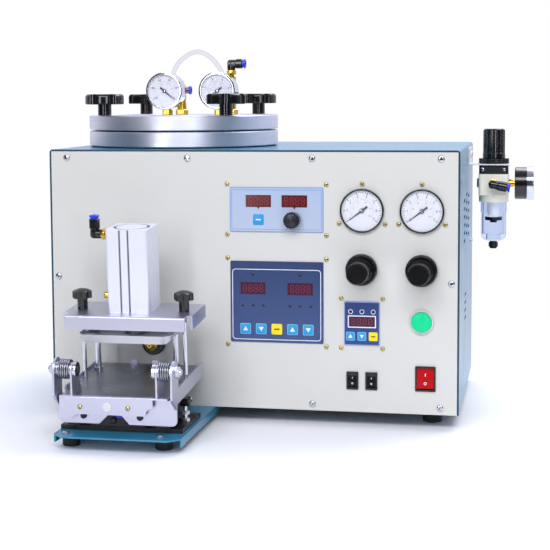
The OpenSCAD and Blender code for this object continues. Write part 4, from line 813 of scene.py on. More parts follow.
def grown(tree: Tree, seed: Mesh, values: dict[str, object]) -> Mesh:
    """Grows a tree on a mesh and gives the result as a plain mesh.

    Args:
        tree: The geometry tree.
        seed: The mesh that it starts from.
        values: Its inputs by name.

    Returns:
        The plain mesh.
    """
    carrier = link("carrier", seed)
    modifier = carrier.modifiers.new("grow", "NODES")
    modifier.node_group = tree
    for item in tree.interface.items_tree:
        if item.in_out == "INPUT" and item.name in values:
            modifier[item.identifier] = values[item.name]
    return plain(carrier)


@dataclass(frozen=True)
class ScrewHeads:
    """Pan heads with a cross recess, set on points that know which way is out."""

    diameter: float
    height: float
    recess: float
    seed: int = 4

    def tree(self) -> Tree:
        """The tree that sets the heads, the same for every size.

        Returns:
            The geometry tree.
        """
        known = bpy.data.node_groups.get("screw_heads")
        if known:
            return known
        tree, size = new_tree("screw_heads", {
            "Diameter": "Float", "Height": "Float", "Recess": "Float", "Seed": "Int", "Finish": "Material"})
        radius = put(tree, "ShaderNodeMath", {0: size["Diameter"], 1: 0.5}, operation="MULTIPLY").outputs[0]
        disc = put(tree, "GeometryNodeMeshCircle", {"Vertices": 24, "Radius": radius}, fill_type="NGON")
        head = disc.outputs[0]
        top = True
        for rise, narrow in ((0.5, 1.0), (0.3, 0.87), (0.2, 0.72)):
            step = put(tree, "ShaderNodeMath", {0: size["Height"], 1: rise}, operation="MULTIPLY").outputs[0]
            up = put(tree, "GeometryNodeExtrudeMesh", mode="FACES", inputs={
                "Mesh": head, "Selection": top, "Offset Scale": step, "Individual": False}).outputs
            top = up["Top"]
            head = put(tree, "GeometryNodeScaleElements",
                       {"Geometry": up[0], "Selection": top, "Scale": narrow}, domain="FACE").outputs[0]
        cut = put(tree, "GeometryNodeMeshBoolean", {"Mesh 1": head}, operation="DIFFERENCE")
        long = put(tree, "ShaderNodeMath", {0: size["Diameter"], 1: 0.62}, operation="MULTIPLY").outputs[0]
        for a, b in ((0, 1), (1, 0)):
            spans = {a: long, b: size["Recess"], 2: size["Height"]}
            span = put(tree, "ShaderNodeCombineXYZ", spans).outputs[0]
            cube = put(tree, "GeometryNodeMeshCube", {"Size": span}).outputs[0]
            lift = put(tree, "ShaderNodeCombineXYZ", {2: size["Height"]}).outputs[0]
            bar = put(tree, "GeometryNodeTransform", {"Geometry": cube, "Translation": lift}).outputs[0]
            tree.links.new(bar, cut.inputs["Mesh 2"])
        away = put(tree, "GeometryNodeInputNamedAttribute", {"Name": "outward"}, data_type="FLOAT_VECTOR")
        face = put(tree, "FunctionNodeAlignRotationToVector", {"Vector": away.outputs[0]}, axis="Z")
        draw = put(tree, "FunctionNodeRandomValue", {"Max": math.pi, "Seed": size["Seed"]}, data_type="FLOAT")
        spin = put(tree, "FunctionNodeAxisAngleToRotation", {"Angle": draw.outputs[1]})
        turn = put(tree, "FunctionNodeRotateRotation",
                   {"Rotation": face.outputs[0], "Rotate By": spin.outputs[0]}, rotation_space="LOCAL")
        points = put(tree, "GeometryNodeMeshToPoints", {"Mesh": size["Geometry"]})
        end_tree(tree, points.outputs[0], cut.outputs[0], turn.outputs[0], size["Finish"])
        return tree

    def build(self, name: str, body: str, slot: str, finish: Finish,
              places: Iterable[tuple[Vector, Sequence[float]]], node: str = "") -> None:
        """Sets a head on each place.

        Args:
            name: The piece's name.
            body: The body that it moves with.
            slot: Not used.
            finish: The heads' finish.
            places: Points in metres, each with its outward direction.
            node: The CAD node that it stands for, if any.
        """
        spots = list(places)
        seed = bpy.data.meshes.new(name + "_spots")
        seed.from_pydata([p for p, _ in spots], [], [])
        outward = seed.attributes.new("outward", "FLOAT_VECTOR", "POINT")
        for value, (_, direction) in zip(outward.data, spots):
            value.vector = direction
        mesh = grown(self.tree(), seed, {
            "Diameter": self.diameter * MM, "Height": self.height * MM, "Recess": self.recess * MM,
            "Seed": self.seed, "Finish": finish.make()})
        settle(name, mesh, body, node=node)


def scale_tree() -> Tree:
    """The tree that sets bars along an arc, for the scales of dials.

    Returns:
        The geometry tree.
    """
    known = bpy.data.node_groups.get("dial_scale")
    if known:
        return known
    tree, size = new_tree("dial_scale", {
        "Count": "Int", "Radius": "Float", "Length": "Float", "Width": "Float", "Start": "Float",
        "Step": "Float", "Finish": "Material"})
    points = put(tree, "GeometryNodePoints", {"Count": size["Count"]}).outputs[0]
    index = put(tree, "GeometryNodeInputIndex").outputs[0]
    angle = put(tree, "ShaderNodeMath", {0: index, 1: size["Step"], 2: size["Start"]},
                operation="MULTIPLY_ADD").outputs[0]
    across = put(tree, "ShaderNodeMath", {0: angle}, operation="COSINE").outputs[0]
    along = put(tree, "ShaderNodeMath", {0: angle}, operation="SINE").outputs[0]
    unit = put(tree, "ShaderNodeCombineXYZ", {0: across, 1: along}).outputs[0]
    spot = put(tree, "ShaderNodeVectorMath", {0: unit, "Scale": size["Radius"]}, operation="SCALE").outputs[0]
    placed = put(tree, "GeometryNodeSetPosition", {"Geometry": points, "Position": spot}).outputs[0]
    spans = {0: size["Length"], 1: size["Width"], 2: size["Width"]}
    span = put(tree, "ShaderNodeCombineXYZ", spans).outputs[0]
    bar = put(tree, "GeometryNodeMeshCube", {"Size": span}).outputs[0]
    turn = put(tree, "ShaderNodeCombineXYZ", {2: angle}).outputs[0]
    spin = put(tree, "FunctionNodeEulerToRotation", {0: turn}).outputs[0]
    end_tree(tree, placed, bar, spin, size["Finish"])
    return tree


def numerals(words: Sequence[str], radius: float, start: float, step: float, height: float) -> Sketch:
    """Plain numbers along an arc.

    Args:
        words: The numbers.
        radius: Radius of the arc.
        start: Angle of the first, in degrees.
        step: Angle from one to the next.
        height: Height of the figures.

    Returns:
        A drawing of the figures.
    """
    sketch = Sketch()
    for i, word in enumerate(words):
        text = bpy.data.curves.new("figure", "FONT")
        text.body = word
        text.size = height * FONT_RATIO
        text.align_x, text.align_y = "CENTER", "CENTER"
        text.extrude = FIGURE_T
        mesh = plain(link("figure", text))
        angle = math.radians(start + i * step)
        mesh.transform(shift(radius * math.cos(angle), radius * math.sin(angle)))
        sketch.bm.from_mesh(mesh)
    return sketch


# Studio


@dataclass
class Studio:
    """Camera at the photograph's angle, pale floor and soft light."""

    lens: float = 89.2
    sensor: float = 36.0
    shift_y: float = -0.1074
    yaw: float = 0.1913
    pitch: float = math.radians(5)
    roll: float = -0.0051
    eye: Spot = (0.2982, -1.6524, 0.3930)
    paper: tuple[float, float, float, float] = (-1.0, 1.0, -0.95, 1.0)
    fade: Point = (0.35, 0.9)
    # Each soft box: its name, stand, aim, width and height, and watts
    boxes: tuple[tuple[str, Spot, Spot, Point, float], ...] = (
        ("front_box", (0.1, -1.9, 1.7), (0, 0, 0.25), (2.2, 0.8), 44),
        ("left_strip", (-0.6, -2.05, 0.6), (0, 0, 0.2), (0.26, 1.0), 7),
        ("right_strip", (0.9, -2.0, 0.6), (0.1, 0, 0.2), (0.22, 1.0), 6),
        ("top_box", (0.6, 0.9, 1.9), (0, 0, 0.3), (1.6, 1.0), 26))

    def camera(self) -> None:
        """Makes the camera and sets it as the scene's own."""
        data = bpy.data.cameras.new("camera")
        data.lens, data.sensor_width, data.shift_y = self.lens, self.sensor, self.shift_y
        ahead = Vector((-math.sin(self.yaw), math.cos(self.yaw), 0))
        right = Vector((math.cos(self.yaw), math.sin(self.yaw), 0))
        up = Vector(UP)
        down = ahead * math.cos(self.pitch) - up * math.sin(self.pitch)
        top = up * math.cos(self.pitch) + ahead * math.sin(self.pitch)
        side = right * math.cos(self.roll) + top * math.sin(self.roll)
        crown = top * math.cos(self.roll) - right * math.sin(self.roll)
        camera = link("camera", data)
        camera.matrix_world = shift(*self.eye) @ Matrix((side, crown, -down)).transposed().to_4x4()
        bpy.context.scene.camera = camera

    def floor(self) -> None:
        """Makes the floor: matt white paper that gets lost in white away from the machine."""
        left, right, near, far = self.paper
        mesh = bpy.data.meshes.new("floor")
        corners = [(left, near, 0), (right, near, 0), (right, far, 0), (left, far, 0)]
        mesh.from_pydata(corners, [], [(0, 1, 2, 3)])
        floor = link("floor", mesh)
        material = bpy.data.materials.new("white_paper")
        tree = fresh(material)
        where = put(tree, "ShaderNodeTexCoord").outputs["Object"]
        away = put(tree, "ShaderNodeVectorMath", {0: where}, operation="LENGTH").outputs["Value"]
        ends = {"Value": away, "From Min": self.fade[0], "From Max": self.fade[1]}
        fade = put(tree, "ShaderNodeMapRange", ends, interpolation_type="SMOOTHSTEP").outputs[0]
        paper = put(tree, "ShaderNodeBsdfDiffuse", {"Color": linear("#F4F5F6")}).outputs[0]
        white = put(tree, "ShaderNodeEmission", {"Color": linear("#FFFFFF"), "Strength": 1.0}).outputs[0]
        mixed = put(tree, "ShaderNodeMixShader", {0: fade, 1: paper, 2: white}).outputs[0]
        put(tree, "ShaderNodeOutputMaterial", {"Surface": mixed})
        mesh.materials.append(material)

    def world(self) -> None:
        """Makes the surroundings: dim towards the viewer, white where seen, also through clear walls."""
        world = bpy.data.worlds.new("studio")
        bpy.context.scene.world = world
        tree = fresh(world)
        where = put(tree, "ShaderNodeTexCoord").outputs["Generated"]
        split = put(tree, "ShaderNodeSeparateXYZ", {0: where}).outputs
        front = put(tree, "ShaderNodeMapRange", {
            "Value": split["Y"], "From Min": -0.5, "From Max": 0.7, "To Min": 0.1, "To Max": 1.0},
            interpolation_type="SMOOTHSTEP").outputs[0]
        above = put(tree, "ShaderNodeMapRange", {
            "Value": split["Z"], "From Min": 0.1, "From Max": 0.8, "To Min": 0.0, "To Max": 0.3},
            interpolation_type="SMOOTHSTEP").outputs[0]
        glow = put(tree, "ShaderNodeMath", {0: front, 1: above}, operation="ADD").outputs[0]
        rays = put(tree, "ShaderNodeLightPath").outputs
        seen = put(tree, "ShaderNodeMath", {0: rays["Is Camera Ray"], 1: rays["Is Transmission Ray"]},
                   operation="MAXIMUM").outputs[0]
        level = put(tree, "ShaderNodeMix", {0: seen, 2: glow, 3: 1.0}, data_type="FLOAT").outputs[0]
        tint = put(tree, "ShaderNodeMix", {0: seen, 6: linear("#EDEFFF"), 7: linear("#FFFFFF")},
                   data_type="RGBA").outputs[2]
        sky = put(tree, "ShaderNodeBackground", {"Color": tint, "Strength": level}).outputs[0]
        put(tree, "ShaderNodeOutputWorld", {"Surface": sky})

    def build(self) -> None:
        """Makes the whole studio."""
        self.camera()
        self.floor()
        self.world()
        for name, stand, aim, size, power in self.boxes:
            data = bpy.data.lights.new(name, "AREA")
            data.shape = "RECTANGLE"
            data.size, data.size_y = size
            data.energy = power
            data.color = linear("#F5F6FF")[:3]
            lamp = link(name, data)
            lamp.location = stand
            lamp.rotation_euler = (Vector(aim) - Vector(stand)).to_track_quat("-Z", "Y").to_euler()
        bpy.context.scene.view_settings.view_transform = "Standard"


# The air tube


@dataclass
class AirTube:
    """Clear nylon tube that arches from one post on the lid to the other."""

    diameter: float = 6.0
    depth: float = 156.0
    lid_top: float = 352.0
    route: tuple[Point, ...] = (
        (-17, 44), (-17, 50), (-15, 57.5), (-11, 65), (-4.5, 72), (3, 77.5), (10.5, 81), (17, 82),
        (24, 80.5), (31.5, 76.5), (38.5, 70.5), (44.5, 63), (48.5, 56), (50, 50), (50, 44))

    def build(self) -> None:
        path = self.smooth([Vector((TANK_AXIS[0] + x, self.depth, self.lid_top + z)) for x, z in self.route])
        tube = Sketch().sweep(path, self.diameter / 2, 32).piece(
            "nylon_air_tube", "lid", "tube", NYLON_TUBE, upright(0, 0, 0), node="air_tube")

    def smooth(self, points: Sequence[Vector], steps: int = 5) -> list[Vector]:
        """Rounds a route off between its points.

        Args:
            points: The route.
            steps: New points for each stretch.

        Returns:
            The finer route.
        """
        fine = []
        for i in range(len(points) - 1):
            a, b = points[max(i - 1, 0)], points[i]
            c, d = points[i + 1], points[min(i + 2, len(points) - 1)]
            for t in (k / steps for k in range(steps)):
                fine.append(0.5 * (2 * b + (c - a) * t + (2 * a - 5 * b + 4 * c - d) * t * t
                                   + (3 * b - a - 3 * c + d) * t ** 3))
        return fine + [points[-1]]


# Cabinet


@dataclass
class Cabinet:
    """Shell, front panel, rear sheet, feet and their screws."""

    width: float = 500.0
    depth: float = 300.0
    height: float = 312.0
    sheet: float = 2.0
    bend: float = 4.0
    pan_d: float = 8.0
    pan_h: float = 2.0
    screw_x: tuple[float, ...] = (22.0, 174.0, 326.0, 478.0)
    front_z: Point = (8.0, 302.0)
    rear_z: Point = (9.0, 297.0)
    middle_z: float = 156.0
    front_in: float = 9.2
    rear_in: float = 13.0
    side_screws: tuple[Point, ...] = ((248.0, 302.0), (266.0, 180.0))
    bracket_t: float = 1.5
    bracket_screw: Point = (234.0, 298.0)
    base_x: Point = (71.0, 180.0)
    base_y: float = -156.0
    brass_d: float = 5.6
    brass_h: float = 1.6
    screw_out: float = 3.5
    inlet: Point = (420.0, 52.0)
    blades: tuple[Point, ...] = ((-6.0, -2.0), (6.0, -2.0), (0.0, 3.0))
    blade: Spot = (2.0, 4.5, 0.4)
    blade_z: Point = (-16.5, -4.0)
    rating: Point = (330.0, 62.0)
    plate: Spot = (66.0, 42.0, 3.0)
    plate_t: float = 0.5
    rivet: Point = (29.0, 17.0)
    overlays: tuple[tuple[Point, Point], ...] = (
        (DISPLAY, (113.0, 53.4)), (CONTROLLER, (113.0, 98.0)), (TIMER, (42.4, 52.2)))
    gauge_screw_r: float = 31.5

    def build(self) -> None:
        """Dresses the sheets and sets the screws."""
        refined("painted_shell", "cabinet_shell", TEAL_PAINT, 0.3)
        self.shell_edge()
        coat(GREY_PAINT, "front_panel")
        coat(TEAL_DARK, "rear_chassis")
        coat(RUBBER, "rubber_feet")
        self.steel_screws()
        self.brass_screws()
        self.rear_details()

    def shell_edge(self) -> None:
        """Paints the cut front edge of the wrapped shell."""
        w, t, bend = self.width, self.sheet, self.bend
        top = self.height - bend
        outer = [(w, 0)] + arc(w - bend, top, bend, 0, 90) + arc(bend, top, bend, 90, 180) + [(0, 0)]
        inner = [(t, 0)] + arc(bend, top, bend - t, 180, 90)
        inner += arc(w - bend, top, bend - t, 90, 0) + [(w - t, 0)]
        Sketch().prism(outer + inner, -0.2, 0.06).piece(
            "shell_front_edge", "cabinet", "shell_paint", TEAL_EDGE, on_panel(0, 0), node="cabinet_shell")

    def steel_screws(self) -> None:
        """Sets the steel pan heads on the panel, the sides, the bracket and the base plate."""
        places = [(at(x, 0, z), FRONT) for x in self.screw_x for z in self.front_z]
        places += [(at(x, 0, self.middle_z), FRONT) for x in (self.front_in, self.width - self.front_in)]
        for y, z in self.side_screws:
            places += [(at(self.width, y, z), RIGHT), (at(0, y, z), LEFT)]
        places.append((at(self.width + self.bracket_t, *self.bracket_screw), RIGHT))
        places += [(at(x, self.base_y, 0), UP) for x in self.base_x]
        ScrewHeads(self.pan_d, self.pan_h, recess=1.1).build(
            "steel_pan_heads", "cabinet", "steel", BRIGHT_STEEL, places, "steel_screws")

    def brass_screws(self) -> None:
        """Sets the small brass heads round the panels and the gauges."""
        places = []
        for (x, z), (w, h) in self.overlays:
            out_x, out_z = w / 2 + self.screw_out, h / 2 + self.screw_out
            places += [(at(x + sx * out_x, 0, z + sz * out_z), FRONT) for sx in (-1, 1) for sz in (-1, 1)]
        for x, z in PANEL_GAUGES:
            spots = (arc(x, z, self.gauge_screw_r, a, a, 1)[0] for a in (90, 210, 330))
            places += [(at(px, 0, pz), FRONT) for px, pz in spots]
        ScrewHeads(self.brass_d, self.brass_h, recess=0.9, seed=9).build(
            "brass_pan_heads", "cabinet", "brass", PALE_BRASS, places, "brass_screws")

    def on_rear(self, x: float, z: float) -> Matrix:
        """A place on the rear sheet: X to the left, Y up, Z to the rear."""
        return axes(LEFT, UP, at(x, self.depth, z))

    def rear_details(self) -> None:
        """Sets the rear sheet's screws, the bare rating plate with its rivets, and the inlet's blades."""
        edges = (self.rear_in, self.width - self.rear_in)
        places = [(at(x, self.depth, z), REAR) for x in self.screw_x for z in self.rear_z]
        places += [(at(x, self.depth, self.middle_z), REAR) for x in edges]
        ScrewHeads(self.pan_d - 1, self.pan_h, recess=1.0, seed=6).build(
            "rear_sheet_screws", "cabinet", "steel", BRIGHT_STEEL, places)
        spot = self.on_rear(*self.rating)
        plate = Sketch().prism(round_rect(*self.plate), 0, self.plate_t)
        plate.piece("bare_rating_plate", "cabinet", "steel", SATIN_STEEL, spot, 0.15)
        rivets, blades = Sketch(), Sketch()
        dome = [(0, 0.4), (1.7, 0.4), (1.4, 1.1), (0.7, 1.5), (0, 1.6)]
        a, b = self.rivet
        for x, y in ((-a, -b), (a, -b), (-a, b), (a, b)):
            rivets.lathe(dome, 16, shift(x, y))
        rivets.piece("rating_plate_rivets", "cabinet", "steel", BRIGHT_STEEL, spot)
        for middle in self.blades:
            blades.prism(round_rect(*self.blade, *middle), *self.blade_z)
        blades.piece("inlet_blades", "cabinet", "brass", PALE_BRASS, self.on_rear(*self.inlet), 0.2)


# Gauges


class DialStyle(Enum):
    """Which scale a dial carries: how many steps, and what one step counts."""

    PANEL = (7, 1)
    VACUUM = (5, 20)
    PRESSURE = (5, 2)


@dataclass
class Gauge:
    """A pressure gauge: case with a rounded rim, printed dial, window and needle hub."""

    name: str
    place: Matrix
    body: str
    diameter: float
    rim_h: float
    rim_w: float
    back: float
    style: DialStyle
    case: Finish
    rim: Finish
    slot: str
    node: str
    lip: float = 1.2
    fall: float = 0.0
    dial_drop: float = 3.8
    start: float = 216.0
    swing: float = -252.0

    @property
    def dial_r(self) -> float:
        """Radius of the dial inside the rim."""
        return self.diameter / 2 - self.rim_w

    @property
    def dial_z(self) -> float:
        """Height of the dial's face over the rim's foot."""
        return self.rim_h - self.dial_drop

    def build(self) -> None:
        """Makes the case, its printed dial and the needle's hub."""
        r, h, w = self.diameter / 2, self.rim_h, self.rim_w
        lip = min(w * 0.45, self.lip)
        small, edge = lip * 0.6, h - lip - self.fall
        rim = [(r - 0.6, 0.05), (r, 0.5), (r, edge)] + arc(r - lip, edge, lip, 0, 90, 4)[1:]
        rim += arc(r - w + small, h - small, small, 90, 180, 3)
        rim += [(self.dial_r, self.dial_z), (r - 0.6, 0.05)]
        back_r = r - (3 if self.style is DialStyle.PANEL else 0.8)
        low, top = -self.back, self.dial_z - 0.05
        shell = [(0, low), (back_r - 1, low), (back_r, low + 1), (back_r, 0.2), (r - 0.7, 0.2),
                 (r - 0.7, 0.6), (self.dial_r + 0.05, top), (0, top)]
        for part, profile, finish in (("_rim", rim, self.rim), ("_case", shell, self.case)):
            Sketch().lathe(profile, 72).piece(
                self.name + part, self.body, self.slot, finish, self.place, node=self.node)
        self.dial()
        self.hub()

    def dial(self) -> None:
        """Makes the white dial with its scales and numbers."""
        r, low = self.dial_r, self.dial_z - 0.04
        print_z = low + 0.08
        face = Sketch().rod(r - 0.05, low, print_z, 72)
        face.piece(self.name + "_dial", self.body, self.slot, DIAL_WHITE, self.place)
        steps, unit = self.style.value
        outer = RED_INK if self.style is DialStyle.VACUUM else BLACK_INK
        for part, count, radius, length, width, ink in (
                ("_major", steps + 1, 0.87, 0.13, 0.7, outer),
                ("_minor", steps * 5 + 1, 0.90, 0.07, 0.34, outer),
                ("_inner", 31, 0.56, 0.06, 0.3, RED_INK)):
            self.scale(part, count, radius, length, width, ink, print_z)
        words = [str(i * unit) for i in range(steps + 1)]
        if self.style is DialStyle.VACUUM:
            words.reverse()
        small = [str(i * 20) for i in range(6)]
        for part, row, at_r, size, ink in (("_numbers", words, 0.71, 0.14, BLACK_INK),
                                           ("_small_numbers", small, 0.44, 0.075, RED_INK)):
            figures = numerals(row, r * at_r, self.start, self.swing / (len(row) - 1), r * size)
            figures.piece(self.name + part, self.body, self.slot, ink, self.place @ shift(0, 0, print_z))

    def scale(self, part: str, count: int, radius: float, length: float, width: float, ink: Finish,
              height: float) -> None:
        """Prints one scale.

        Args:
            part: Ending of the piece's name.
            count: How many marks.
            radius: Radius of the marks' middles, as a share of the dial's radius.
            length: Length of a mark, as a share of the dial's radius.
            width: Width of a mark in millimetres.
            ink: Their finish.
            height: Height of the print over the rim's foot.
        """
        mesh = grown(scale_tree(), bpy.data.meshes.new("blank"), {
            "Count": count, "Radius": self.dial_r * radius, "Length": self.dial_r * length, "Width": width,
            "Start": math.radians(self.start), "Step": math.radians(self.swing / (count - 1)),
            "Finish": ink.make()})
        mesh.transform(self.place @ shift(0, 0, height - width * 0.4))
        settle(self.name + part, mesh, self.body)

    def hub(self) -> None:
        """Makes the dark hub of the needle with its bright cap."""
        r, low = self.diameter * 0.05, self.dial_z + 1.2
        wide, cap_r = r + 0.12, r * 0.62
        ring = [(0, low), (wide, low), (wide, low + 0.4), (r - 0.1, low + 0.55), (0, low + 0.55)]
        cap = [(0, low + 0.5), (cap_r, low + 0.5), (cap_r, low + 0.65), (r * 0.4, low + 0.75),
               (0, low + 0.75)]
        needle = self.name.replace("gauge", "needle")
        Sketch().lathe(ring, 32).piece(self.name + "_hub", needle, "matt_black", BLACK_INK, self.place)
        Sketch().lathe(cap, 32).piece(self.name + "_hub_cap", needle, "steel", BRIGHT_STEEL, self.place)


@dataclass
class GaugeSet:
    """The five gauges of the machine."""

    lid_x: Point = (113.0, 183.0)
    lid_y: float = 118.0
    lid_z: float = 383.0
    lid_rim_h: float = 7.0
    supply: Spot = (574.0, 200.0, 262.0)

    def build(self) -> None:
        """Makes the cases and dials, and coats the windows and needles."""
        for name, middle in zip(("forward_gauge", "clamp_gauge"), PANEL_GAUGES):
            Gauge(name, on_panel(*middle), "cabinet", diameter=52, rim_h=5, rim_w=2, back=30,
                  style=DialStyle.PANEL, case=MATT_BLACK, rim=GLOSS_BLACK, slot="black_metal",
                  node="gauge_cases").build()
        Gauge("supply_gauge", axes(REAR, UP, at(*self.supply)), "cabinet", diameter=43, rim_h=9, rim_w=1.6,
              back=15, style=DialStyle.PRESSURE, case=GLOSS_BLACK, rim=CHROME, slot="black_metal",
              node="gauge_cases").build()
        for x, style in zip(self.lid_x, (DialStyle.VACUUM, DialStyle.PRESSURE)):
            place = on_panel(x, self.lid_z, self.lid_y + self.lid_rim_h)
            Gauge(style.name.lower() + "_gauge", place, "lid", diameter=48, rim_h=self.lid_rim_h, rim_w=2.6,
                  back=20, style=style, case=CHROME, rim=CHROME, slot="steel", node="lid_gauge_cases",
                  lip=0.35, fall=0.5).build()
        coat(CLEAR, "gauge_lenses", "lid_gauge_lenses")
        coat(BLACK_INK, "forward_needle", "clamp_needle", "supply_needle", "vacuum_needle", "pressure_needle")


# Panel instruments


class KeyMark(Enum):
    """What a key carries; an arrow's value is its direction."""

    UP = 1
    DOWN = -1
    SET = 0
    PLAIN = 2


@dataclass
class PrintedFilm:
    """A printed panel on the front with lines, display windows, lamps and keys."""

    name: str
    middle: Point
    slot: str
    face: float = 1.2
    key_rise: float = 0.4
    digits: int = 4

    def add(self, part: str, sketch: Sketch, finish: Finish, bevel: float = 0.0) -> None:
        """Makes a drawing a piece of the panel, with a name that starts with the panel's."""
        sketch.piece(f"{self.name}_{part}", "cabinet", self.slot, finish, on_panel(*self.middle), bevel)

    def line(self, part: str, outline: Sequence[float], width: float, ink: Finish) -> None:
        """Prints a frame line.

        Args:
            part: Ending of the piece's name.
            outline: Width, height, corner radius and middle of its outer edge.
            width: Width of the line.
            ink: Its finish.
        """
        w, h, r, x, y = outline
        inner = round_rect(w - 2 * width, h - 2 * width, max(r - width, 0.1), x, y)
        self.add(part, Sketch().frame(round_rect(*outline), inner, self.face - 0.05, self.face + 0.04), ink)

    def window(self, part: str, size: Point, middle: Point, glass: Finish, lit: Finish) -> None:
        """Makes a display window with the ghost of its digits.

        Args:
            part: Middle of the pieces' names.
            size: Width and height.
            middle: Its middle on the panel.
            glass: Finish of the window.
            lit: Finish of the segments.
        """
        low = self.face - 0.6
        pane = Sketch().prism(round_rect(size[0] - 0.1, size[1] - 0.1, 0.3, *middle), low - 0.05, low + 0.3)
        self.add(part + "_pane", pane, glass)
        marks = Sketch()
        h, pitch = size[1] * 0.62, size[0] * 0.86 / self.digits
        w, bar = pitch * 0.58, h * 0.11
        spans = [(0, s * h / 2, w * 0.78, bar) for s in (-1, 0, 1)]
        spans += [(sx * w / 2, sy * h / 4, bar, h * 0.4) for sx in (-1, 1) for sy in (-1, 1)]
        for i in range(self.digits):
            x = middle[0] + (i - (self.digits - 1) / 2) * pitch
            for dx, dy, bw, bh in spans:
                segment = round_rect(bw, bh, min(bw, bh) * 0.45, x + dx, middle[1] + dy)
                marks.prism(segment, low + 0.27, low + 0.34)
        self.add(part + "_digits", marks, lit)

    def key(self, part: str, middle: Point, size: float, mark: KeyMark) -> None:
        """Prints a key: a coloured square with its mark.

        Args:
            part: Middle of the pieces' names.
            middle: Its middle on the panel.
            size: Its width.
            mark: What it carries.
        """
        low = self.face + self.key_rise
        arrow = mark in (KeyMark.UP, KeyMark.DOWN)
        ink = YELLOW_INK if mark is KeyMark.SET else CYAN_INK
        x, y = middle
        edge = Sketch().prism(round_rect(size, size, 1.5, x, y), low - 0.5, low + 0.04)
        self.add(part + "_edge", edge, PALE_INK if arrow else ink, 0.02)
        pad = Sketch().prism(round_rect(size - 1.6, size - 1.6, 1.0, x, y), low - 0.02, low + 0.1)
        self.add(part + "_pad", pad, ink, 0.03)
        form = round_rect(size * 0.5, size * 0.12, size * 0.05, x, y)
        if arrow:
            half = size * 0.24 * mark.value
            form = [(x - half, y - half * 0.75), (x + half, y - half * 0.75), (x, y + half * 0.95)]
        self.add(part + ("_arrow" if arrow else "_bar"), Sketch().prism(form, low + 0.05, low + 0.15),
                 BLACK_INK if mark is KeyMark.SET else WHITE_INK)

    def lamps(self, spots: Sequence[Point], d: float) -> None:
        """Sets small dark lamps in their holes.

        Args:
            spots: Their middles.
            d: Diameter of a hole.
        """
        sketch = Sketch()
        low, r = self.face - 0.62, d / 2 - 0.1
        dome = [(0, low), (r, low), (r, low + 0.3), (r * 0.75, low + 0.6), (r * 0.35, low + 0.75),
                (0, low + 0.8)]
        for x, y in spots:
            sketch.lathe(dome, 20, shift(x, y))
        self.add("lamps", sketch, LAMP)


